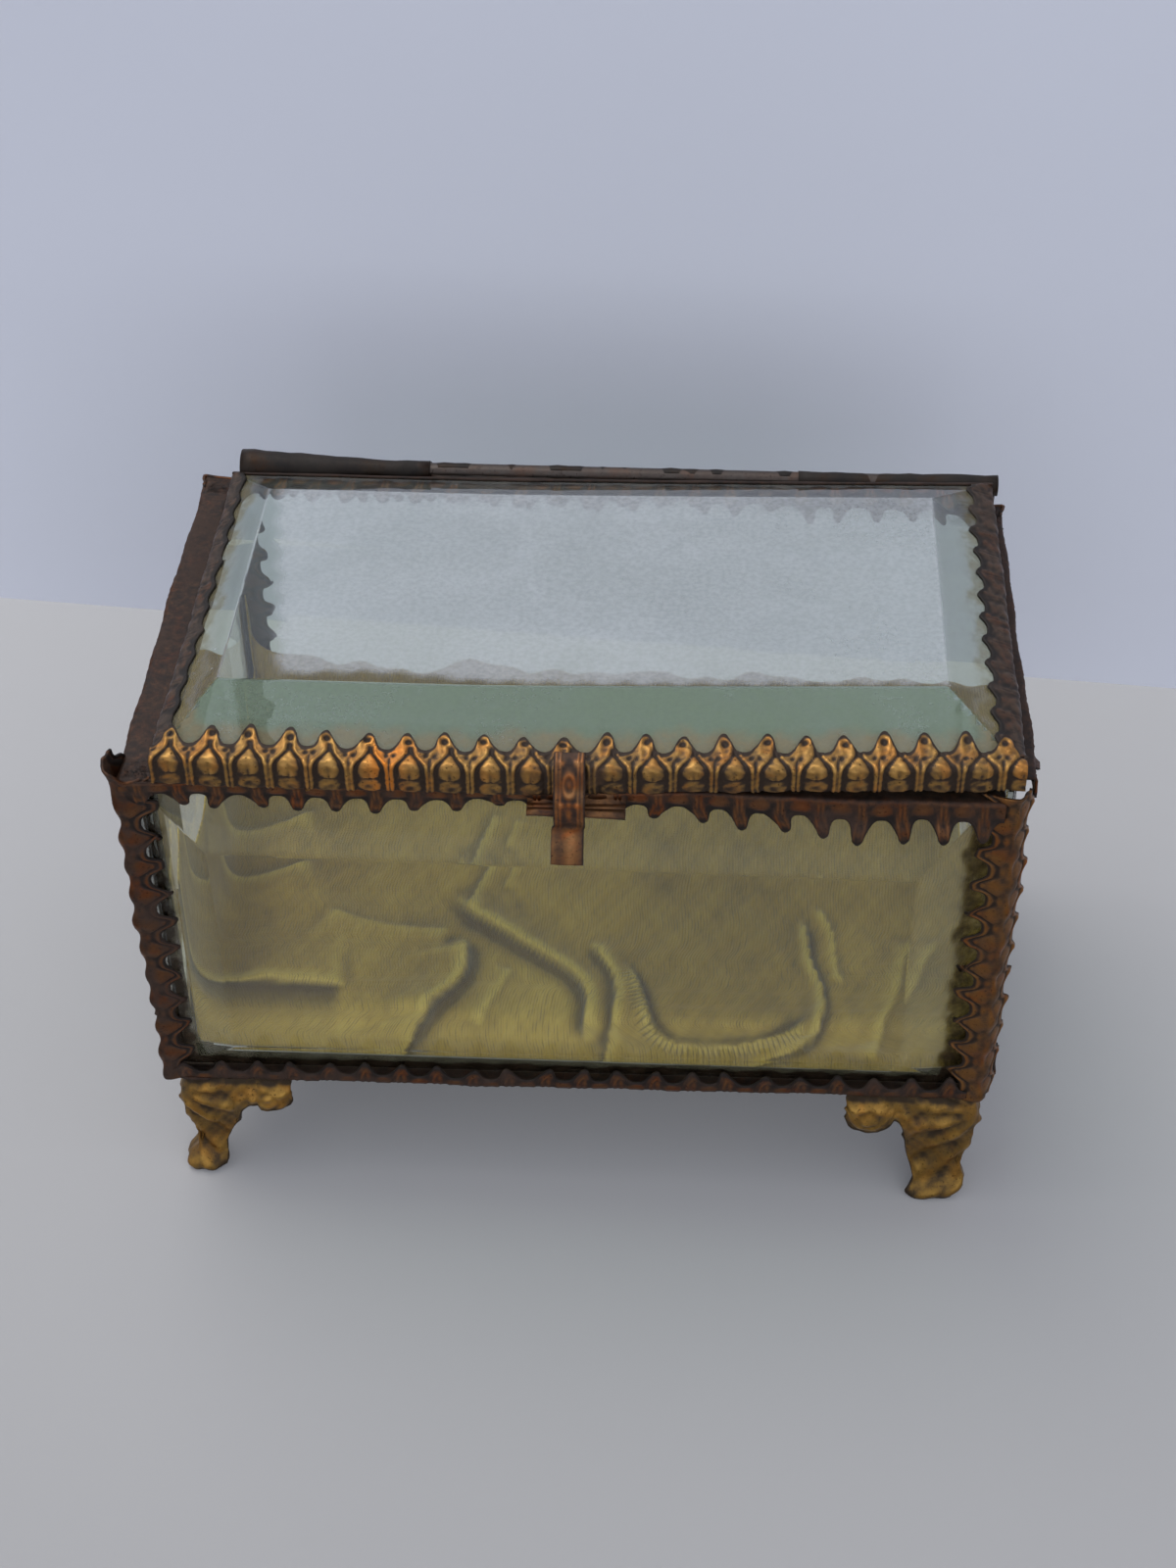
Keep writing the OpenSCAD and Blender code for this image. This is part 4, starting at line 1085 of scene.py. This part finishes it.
def bracket_foot(place, fold_x, sign_x, sign_y, seed, leg=1.0, lobe_drop=2.4, curl=0.0, wing=FOOT_WING,
                 straight=0.0):
    """A stamped bracket folded round the corner: a leg of leaves down to the toe and a round lobe on each
    wing. leg scales the leg's width, straight takes its waist out and curl pulls its toe sideways."""
    toe_to, leg_to, arch_to = 5.2, 7.7, 10.9
    half = np.r_[np.linspace(0, toe_to, 15), np.linspace(5.45, leg_to, 13), np.linspace(8.1, wing, 24)]
    s = np.r_[-half[:0:-1], half]
    d = np.abs(s)
    crown, shoulder = 15.3, 8.8
    lobe_at, lobe_r = wing - 3.4, 3.4
    arch = shoulder + (crown - shoulder) * np.sqrt(np.clip(1 - ((arch_to - d) / 3.3) ** 2, 0, 1))
    dip = crown - lobe_drop * np.sqrt(np.clip(1 - ((d - lobe_at) / lobe_r) ** 2, 0, 1))
    side_of_leg = 0.6 + 8.2 * (np.clip(d - toe_to, 0, None) / 2.5) ** 1.5
    low = np.select([d < toe_to, d < leg_to, d <= arch_to], [0.6 * (d / toe_to) ** 4, side_of_leg, arch], dip)
    t = np.linspace(0, 1, 44)[:, None]
    scallop = 0.35 * np.abs(np.sin(s * 1.35 + seed))
    z = low + t * (FOOT_H + 0.5 - scallop - low)
    dd = np.broadcast_to(d, z.shape)
    narrow = np.interp(z, [0, 1.2, 2.6, 5, 8, 11, 20], [0.72, 0.9, 0.86, 0.74, 0.84, 1, 1])
    narrow = leg * (narrow + straight * (1 - narrow))
    ss = s * (narrow + (1 - narrow) * rise(dd, 7.2, 11))
    bow = np.interp(z / FOOT_H, BOW[:, 0], BOW[:, 1]) * (1 - 0.55 * rise(dd, 8, 12))
    rib = 0.55 * hump(dd, 0.8) * rise(14.5 - z, 0, 2)
    on_leg = rise(dd, 0.5, 1.4) * rise(7.4 - dd, 0, 1.2) * rise(15 - z, 0, 2)
    veins = np.cos((z * 1.15 + dd * 1.5) + 1.2 * np.sin(dd * 0.6)) * on_leg
    angle = np.arctan2(17.5 - z, dd + 0.5)
    radius = np.hypot(17.5 - z, dd + 0.5)
    leaf = np.cos(angle * 11 + radius * 0.25) * rise(radius, 1.5, 3) * rise(9.5 - radius, 0, 2)
    lobe = dome((dd - lobe_at - 0.1) / 2.9, (z - crown - 0.9) / 3.0)
    whorl = hump(np.hypot(dd - lobe_at, z - crown - 0.6) - 1.5, 0.35)
    stem = hump(z - 17.0 - 0.6 * np.sin(dd * 0.5), 0.6) * rise(dd, 6, 8)
    toe = 0.75 * hump(z - 1.2, 1.1) * rise(6 - dd, 0, 2)
    lumps = waves(np.random.default_rng(seed), (0.12, 0.09, 0.07), ss, (1.1, 2.3, 3.7), z, (0.9, -1.7, 2.9))
    drawn = (rib, veins, leaf, lobe, whorl, stem, lumps)
    relief = 0.55 + sum(w * part for w, part in zip((0.2, 0.12, 0.14, 0.30, -0.25, 0.15, 0.8), drawn))
    height = toe + sum(w * part for w, part in zip((0.35, 0.22, 0.30, 0.9, -0.22, 0.3, 0.6), drawn))
    fold = np.array([fold_x * sign_x, HALF_D * sign_y])
    wings = [fold - (FOOT_WING + 2) * np.array(way) for way in ((sign_x, 0), (0, sign_y))]
    path = rounded_path([wings[0], fold, wings[1]], 1.6, 1)
    turn = sign_x * sign_y
    at, normal = on_path(path, ss.ravel())
    at = at + normal * turn * (bow + height - 0.4).ravel()[:, None]
    at[:, 0] -= sign_x * curl * rise(3.4 - z.ravel(), 0, 3.2)
    points = racked(np.stack([at[:, 0], at[:, 1], z.ravel()], 1))
    foot = mesh_piece(f"foot_leaf_{place}", to_frame(points), grid_faces(*z.shape), FOOT_GILT)
    edge_dark = 0.45 * rise(t * (FOOT_H - low), 0.7, 0.0) + 0.35 * rise(z, FOOT_H - 1.1, FOOT_H - 0.4)
    set_attribute(foot, "relief", np.clip(relief - edge_dark, 0, 1.1))
    thicken(foot, 0.55, turn)
    attach(foot, "carcass", f"foot_{place}")


FOOT_X = HALF_W - 2.2
bracket_foot("front_left", FOOT_X, -1, -1, 71, 0.95, 1.3, wing=15.6)
bracket_foot("front_right", FRONT_RIGHT_FOLD, 1, -1, 72, 1.2, 2.8, 2.4, straight=0.9)
bracket_foot("rear_left", FOOT_X, -1, 1, 73)
bracket_foot("rear_right", FOOT_X, 1, 1, 74)


# ---------- lining ----------

def from_line(x, q, line):
    """For points (x, q), their signed distance from a smoothed line, positive on its left, the share of its
    length at the nearest place, and how far along it that is in millimetres."""
    line = smoothed(line, 2)
    lengths = arc_lengths(line)
    best = np.full(x.shape, 1e9)
    signed, along = np.zeros_like(x), np.zeros_like(x)
    for a, b, start in zip(line[:-1], line[1:], lengths):
        d = b - a
        t = np.clip(((x - a[0]) * d[0] + (q - a[1]) * d[1]) / (d @ d), 0, 1)
        px, pq = x - a[0] - t * d[0], q - a[1] - t * d[1]
        far = np.hypot(px, pq)
        nearer = far < best
        best = np.where(nearer, far, best)
        signed = np.where(nearer, np.where(d[0] * pq - d[1] * px > 0, far, -far), signed)
        along = np.where(nearer, start + t * np.linalg.norm(d), along)
    return signed, along / lengths[-1], along


# The silk's folds. Each has its crest along a line of points (x, q), q being the distance to the rear, laid
# out flat, from near the middle. Then: +1 if it drops into a crease on the line's left or -1 on its right,
# its height, the width of its back, the width of its drop, the crease's depth and width, and how dark the
# painted shade in the crease is.
FOLDS = [
    ([(-57, -21.3), (-48, -22.6), (-40, -23.3), (-33, -23.2)], -1, 1.6, 6.0, 1.2, 1.2, 4.0, 0.95),
    ([(-17.5, -12.5), (-16.2, -17), (-17, -21.5), (-19.8, -25.5), (-23.5, -31), (-27, -37)], 1,
     2.6, 5.0, 0.8, 1.2, 1.9, 1.0),
    ([(-19.5, -4), (-17.5, -8.3), (-13, -11.2), (-8, -14.8), (-3, -18), (0.3, -21.5), (1.6, -26), (1.0, -31)],
     -1, 2.3, 2.6, 0.7, 1.3, 1.8, 1.0),
    ([(0.5, -13), (3.4, -17), (4.9, -21.5), (5.3, -27), (4.4, -31.5), (2.0, -37)], -1,
     1.7, 2.2, 0.6, 1.0, 0.9, 0.95),
    ([(6.2, -17), (8.2, -22.5), (10.4, -28), (13.2, -30.4), (18, -30.8), (23, -30.3), (28, -29), (33, -26.5)],
     1, 1.4, 2.4, 0.5, 0.8, 0.8, 0.60),
    ([(31, -6), (32.4, -14), (33.8, -21), (34.3, -26), (33, -29.3), (29.5, -31.2), (25, -33), (22, -37)], 1,
     1.7, 1.3, 0.45, 0.9, 0.7, 1.0),
    ([(34, -4), (36, -12), (36.8, -20)], 1, 0.7, 1.2, 0.6, 0.5, 0.8, 0.45),
    ([(-41, 2.5), (-45.5, -0.8), (-50, -4.5), (-53.5, -9), (-55.5, -13)], -1, 1.3, 5.0, 1.8, 0.9, 2.4, 0.50),
    ([(-39, -8.5), (-33, -10.8), (-27, -12), (-19, -12)], 1, 1.0, 5.0, 2.6, 0.4, 3.0, 0.35),
    ([(-14.6, 3), (-15.8, -3), (-17.4, -8)], -1, 0.9, 1.6, 0.6, 0.6, 0.9, 0.60),
    ([(-11.2, 2), (-12, -3)], -1, 0.5, 1.4, 0.6, 0.3, 0.8, 0.35),
    ([(47, -10), (45, -19), (42.5, -26), (41, -33)], 1, 1.2, 3.0, 2.0, 0.5, 2.4, 0.35),
    ([(-10, -18.5), (-12, -23), (-13.6, -29)], 1, 0.7, 2.0, 1.0, 0.3, 1.3, 0.35),
    ([(-30, 6), (-10, 9), (12, 7), (36, 10)], 1, 1.0, 7.0, 4.0, 0.2, 3.0, 0.15),
    ([(-48, -34), (-38, -35.5), (-30, -34.5)], 1, 0.6, 3.0, 1.6, 0.2, 1.5, 0.25),
]
GATHERED = 4                 # the fold whose crest is drawn into fine gathers
FOLDS_START = 33.7           # from the sheet's front edge to q = 0


def fold_heights(x, q):
    """The folds' height at each point, how much painted shade it gets from lying in a crease, and the
    gathers' strength and place.
    """
    height, hollow = np.zeros_like(x), np.zeros_like(x)
    for number, (line, side, crest, back, drop, depth, width, dark) in enumerate(FOLDS):
        signed, share, along = from_line(x, q, line)
        t = signed * side
        taper = rise(share, 0, 0.14) * rise(1 - share, 0, 0.10)
        reach = np.clip(t, 0, None)
        ridge = np.where(t > 0, np.exp(-(reach / drop) ** 1.6), np.exp(-(np.abs(t) / back) ** 1.5))
        crease = rise(t, 0, 0.35 * drop + 0.1) * np.exp(-(reach / width) ** 1.6)
        height += taper * (crest * ridge - depth * crease)
        hollow = np.maximum(hollow, taper * dark * crease)
        if number == GATHERED:
            gathers = taper * hump(t + 0.9, 1.3)
            stitches = along
    return height, hollow, gathers, stitches


def silk_sheet():
    low, high = case_box("silk_lining")
    columns, rows = 245, 165
    base = low.z
    profile = rounded_path([(y, base + z) for y, z in (
        (low.y - 0.3, -5.0), (low.y - 0.3, -1.6), (low.y + 1.6, 0.9), (low.y + 7, 1.9), (-8, 2.3), (8, 2.6),
        (18, 2.4), (high.y - 3.0, 1.6), (high.y - 0.5, 2.2), (high.y, 15.0))], 0.8, 0)
    total = profile[0][-1]
    aa, bb = (g.ravel() for g in np.meshgrid(np.linspace(low.x + 0.2, high.x - 0.2, columns),
                                             np.linspace(0, total, rows)))
    q = bb - FOLDS_START
    to_rear_edge = total - bb
    height, hollow, gathers, stitches = fold_heights(aa, q)
    draw = np.random.default_rng(81)
    soft = waves(draw, (0.34, 0.22, 0.13, 0.08), aa, (0.10, 0.23, 0.51, 1.1), q, (0.16, -0.19, 0.37, -0.7))
    creases = sum(np.abs(waves(draw, (0.08,), aa, (f,), q, (g,))) for f, g in ((0.9, 0.5), (1.6, -1.1)))
    on_floor = rise(to_rear_edge, 13, 22)
    at_front = rise(bb, 1.0, 5)
    height = (1.25 * height * (0.4 + 0.6 * at_front) + (soft + creases) * at_front) * on_floor

    at, normal = on_path(profile, bb)
    x = aa + 0.25 * np.sin(q * 0.5)
    y, z = (at + normal * height[:, None]).T
    # turned up against the left and right walls
    turned_in = rise(0.0, -0.25, 0.5)
    for way, wide, tall in ((-1, 9.0, 22.0 * rise(bb, 1.5, 6.0) * (1 - 0.5 * rise(bb, 22, 50))),
                            (1, 5.0, 7.0 * rise(bb, 3, 16))):
        t = np.clip((way * aa - high.x + wide) / wide, 0, 1)
        x = np.where(t > 0, way * (high.x - wide * (1 - rise(t, -0.25, 0.5)) / (1 - turned_in)), x)
        z = z + tall * rise(t, 0.18, 1.0)
        z = z - (z - base - 1.2) * 0.8 * hump(t - 0.25, 0.22) * on_floor * rise(bb, 6, 12)
    # its uneven rear edge, standing against the rear wall
    edge_line = 2.6 * hump(aa + 48, 7) + 1.4 * hump(aa + 20, 4.5) - 0.5 * hump(aa + 34, 6)
    edge_line += 0.4 * np.sin(aa * 0.31) + 0.25 * np.sin(aa * 0.83 + 1)
    z = z + (1 - rise(to_rear_edge, 0, 14)) * edge_line
    ripples = 0.5 + 0.45 * np.sin(aa * 0.42 + 0.7) + 0.25 * np.sin(aa * 1.05) + 0.35 * hump(aa + 30, 5)
    y = y - (1 - rise(to_rear_edge, 7, 13)) * ripples
    points = np.stack([np.clip(x, low.x, high.x), np.clip(y, low.y - 0.45, high.y + 0.15), z], 1)

    cloth = points.reshape(rows, columns, 3)
    along_rows, along_columns = (np.linalg.norm(np.diff(cloth, axis=axis), axis=2) for axis in (1, 0))
    weft = np.cumsum(np.c_[np.zeros(rows), along_rows], axis=1)
    weft -= weft[:, columns // 2, None]
    silk = mesh_piece("silk_lining_sheet", to_frame(points), grid_faces(rows, columns), SILK)
    index = np.zeros(len(silk.data.loops), int)
    silk.data.loops.foreach_get("vertex_index", index)
    for name, u, v in (("cut", weft.ravel(), bb), ("gathers", stitches, gathers)):
        silk.data.uv_layers.new(name=name).data.foreach_set(
            "uv", np.stack([u[index], v[index]], 1).astype(np.float32).ravel())

    deep = height.reshape(rows, columns)
    spread = deep.copy()
    for _ in range(10):
        spread = sum(np.roll(spread, shift, axis) for shift in (-1, 1) for axis in (0, 1)) / 4
    above = (deep - spread).ravel()
    # Painted shade, kept as the attribute hollow: darker in the creases, where the silk lies lower than round
    # about, and over two stretches towards the right.
    occluded = np.clip(-above / 0.55, 0, 1) * on_floor
    shaded = 0.16 * rise(aa, 3, 9) * rise(36 - aa, 0, 6) * rise(q, -29, -25) + 0.10 * rise(aa, 36, 50)
    set_attribute(silk, "hollow", np.clip(np.maximum(hollow, 0.75 * occluded) + shaded, 0, 1))
    # each paler place's strength, its middle and its widths
    paler_places = sum(w * hump(aa - across, wide) * hump(q - up, tall) for w, across, wide, up, tall in (
        (0.46, 17, 16, -31.5, 4), (0.44, -7, 11, -25, 8), (0.46, -35, 16, -30.5, 5), (0.2, -33, 8, -17, 5),
        (0.20, 45, 9, -26, 9)))
    # Painted light, kept as the attribute crest: the tops of the folds lighter where they stand above what is
    # round them, and a strip along the front lighter where it slopes down away from the light; the paler
    # places are added in.
    crest = np.clip(above / 0.5, 0, 1) * on_floor
    set_attribute(silk, "crest", np.clip(crest + paler_places + 0.14 * rise(-q, 24, 31), 0, 1))
    solid = silk.modifiers.new("cloth", "SOLIDIFY")
    solid.thickness = 0.25 * MM
    solid.offset = 0
    settle_modifiers(silk)
    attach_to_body(silk, "carcass")
    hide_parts("silk_lining")


def wadding_pad():
    low, high = case_box("cushion_wadding")
    columns, rows = 60, 36
    xx, yy = (g.ravel() for g in np.meshgrid(np.linspace(low.x + 0.3, high.x - 0.3, columns),
                                             np.linspace(low.y + 0.5, high.y - 0.3, rows)))
    lumps = waves(np.random.default_rng(91), (0.2, 0.14, 0.08), xx, (0.3, 0.7, 1.6), yy, (0.4, -0.6, 1.2))
    edge = np.minimum.reduce([xx - low.x, high.x - xx, yy - low.y, high.y - yy])
    top = high.z - 0.5 + lumps - 1.2 * np.exp(-edge / 1.2) - 1.6 * np.exp(-(yy - low.y) / 2.2)
    bottom = low.z + 0.6 * np.exp(-edge / 0.8)
    points = np.concatenate([np.stack([xx, yy, top], 1), np.stack([xx, yy, bottom], 1)])
    number = np.arange(rows * columns).reshape(rows, columns)
    ring = [int(i) for i in np.r_[number[0], number[1:, -1], number[-1, -2::-1], number[-2:0:-1, 0]]]
    under = number.size
    upper = grid_faces(rows, columns)
    faces = upper + [tuple(under + i for i in reversed(f)) for f in upper]
    faces += [(i, under + i, under + j, j) for i, j in zip(ring, ring[1:] + ring[:1])]
    pad = face_outwards(mesh_piece("wadding_pad", to_frame(points), faces, WADDING))
    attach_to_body(pad, "carcass")
    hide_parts("cushion_wadding")


wadding_pad()
silk_sheet()
paint("cushion_board", CARD)


# ---------- stage, light and camera ----------

def stage_plane(name, corners, material):
    mesh_piece(name, corners, [(0, 1, 2, 3)], material, smooth=False)


# The backdrop stands on the table behind the case, a little askew
wall_at, wall_slope, wall_h = 0.096, -0.079, 1.6
half_span, table_to = 2.0, 2.5
back_left = (-half_span, wall_at - half_span * wall_slope, 0)
back_right = (half_span, wall_at + half_span * wall_slope, 0)
floor_colour, floor_glow = (0.272, 0.263, 0.250), 0.062
wall_colour = (0.63, 0.645, 0.71)
stage_plane("table_top", [(-half_span, -table_to, 0), (half_span, -table_to, 0), back_right, back_left],
            stage_material("table_paint", floor_colour, painted_far_light=0.17, glow=floor_glow))
stage_plane("backdrop", [back_left, back_right, (*back_right[:2], wall_h), (*back_left[:2], wall_h)],
            stage_material("backdrop_paint", wall_colour, True))
stage_plane("table_behind", [back_left, back_right, (half_span, table_to, 0), (-half_span, table_to, 0)],
            stage_material("table_behind_paint", floor_colour, glow=floor_glow))


def soft_light(name, place, aim, size, power, colour, mirrored=True):
    lamp = bpy.data.lights.new(name, "AREA")
    lamp.shape = "RECTANGLE"
    lamp.size, lamp.size_y = size
    lamp.energy = power
    lamp.color = colour
    light = link(bpy.data.objects.new(name, lamp))
    light.location = place
    light.rotation_mode = "QUATERNION"
    light.rotation_quaternion = (Vector(aim) - Vector(place)).to_track_quat("-Z", "Y")
    light.visible_glossy = mirrored


soft_light("window_light", (-0.36, 0.30, 0.95), (0, 0.0, 0.03), (0.8, 0.8), 6.2, (1.0, 0.99, 0.98))
soft_light("room_light", (0.25, -1.30, 0.45), (0, -0.05, 0.0), (1.2, 0.6), 4.6, (0.90, 0.93, 1.0), False)

world = bpy.data.worlds.new("room")
bpy.context.scene.world = world
world.use_nodes = True
background = world.node_tree.nodes["Background"]
background.inputs["Color"].default_value = (0.80, 0.84, 0.95, 1)
background.inputs["Strength"].default_value = 0.95

# A long lens a little to the right of the middle, looking down at the front
FOCAL_PX, IMAGE_H, SENSOR = 2460, 1600, 36
pitch, yaw, roll = math.radians(40.94), math.radians(-3.81), math.radians(-0.69)
ahead = Vector((math.sin(yaw) * math.cos(pitch), math.cos(yaw) * math.cos(pitch), -math.sin(pitch)))
level_right = Vector((math.cos(yaw), -math.sin(yaw), 0))
level_up = level_right.cross(ahead)
right = math.cos(roll) * level_right + math.sin(roll) * level_up
up = -math.sin(roll) * level_right + math.cos(roll) * level_up
camera_data = bpy.data.cameras.new("camera")
camera_data.sensor_width = SENSOR
camera_data.lens = FOCAL_PX / IMAGE_H * SENSOR
camera_data.clip_start, camera_data.clip_end = 0.01, 20
camera = link(bpy.data.objects.new("camera", camera_data))
camera.matrix_world = Matrix.Translation((0.0173, -0.26208 + MIDDLE_Y, 0.27534)) @ Matrix(
    (right, up, -ahead)).transposed().to_4x4()
bpy.context.scene.camera = camera
bpy.context.scene.view_settings.view_transform = "Standard"
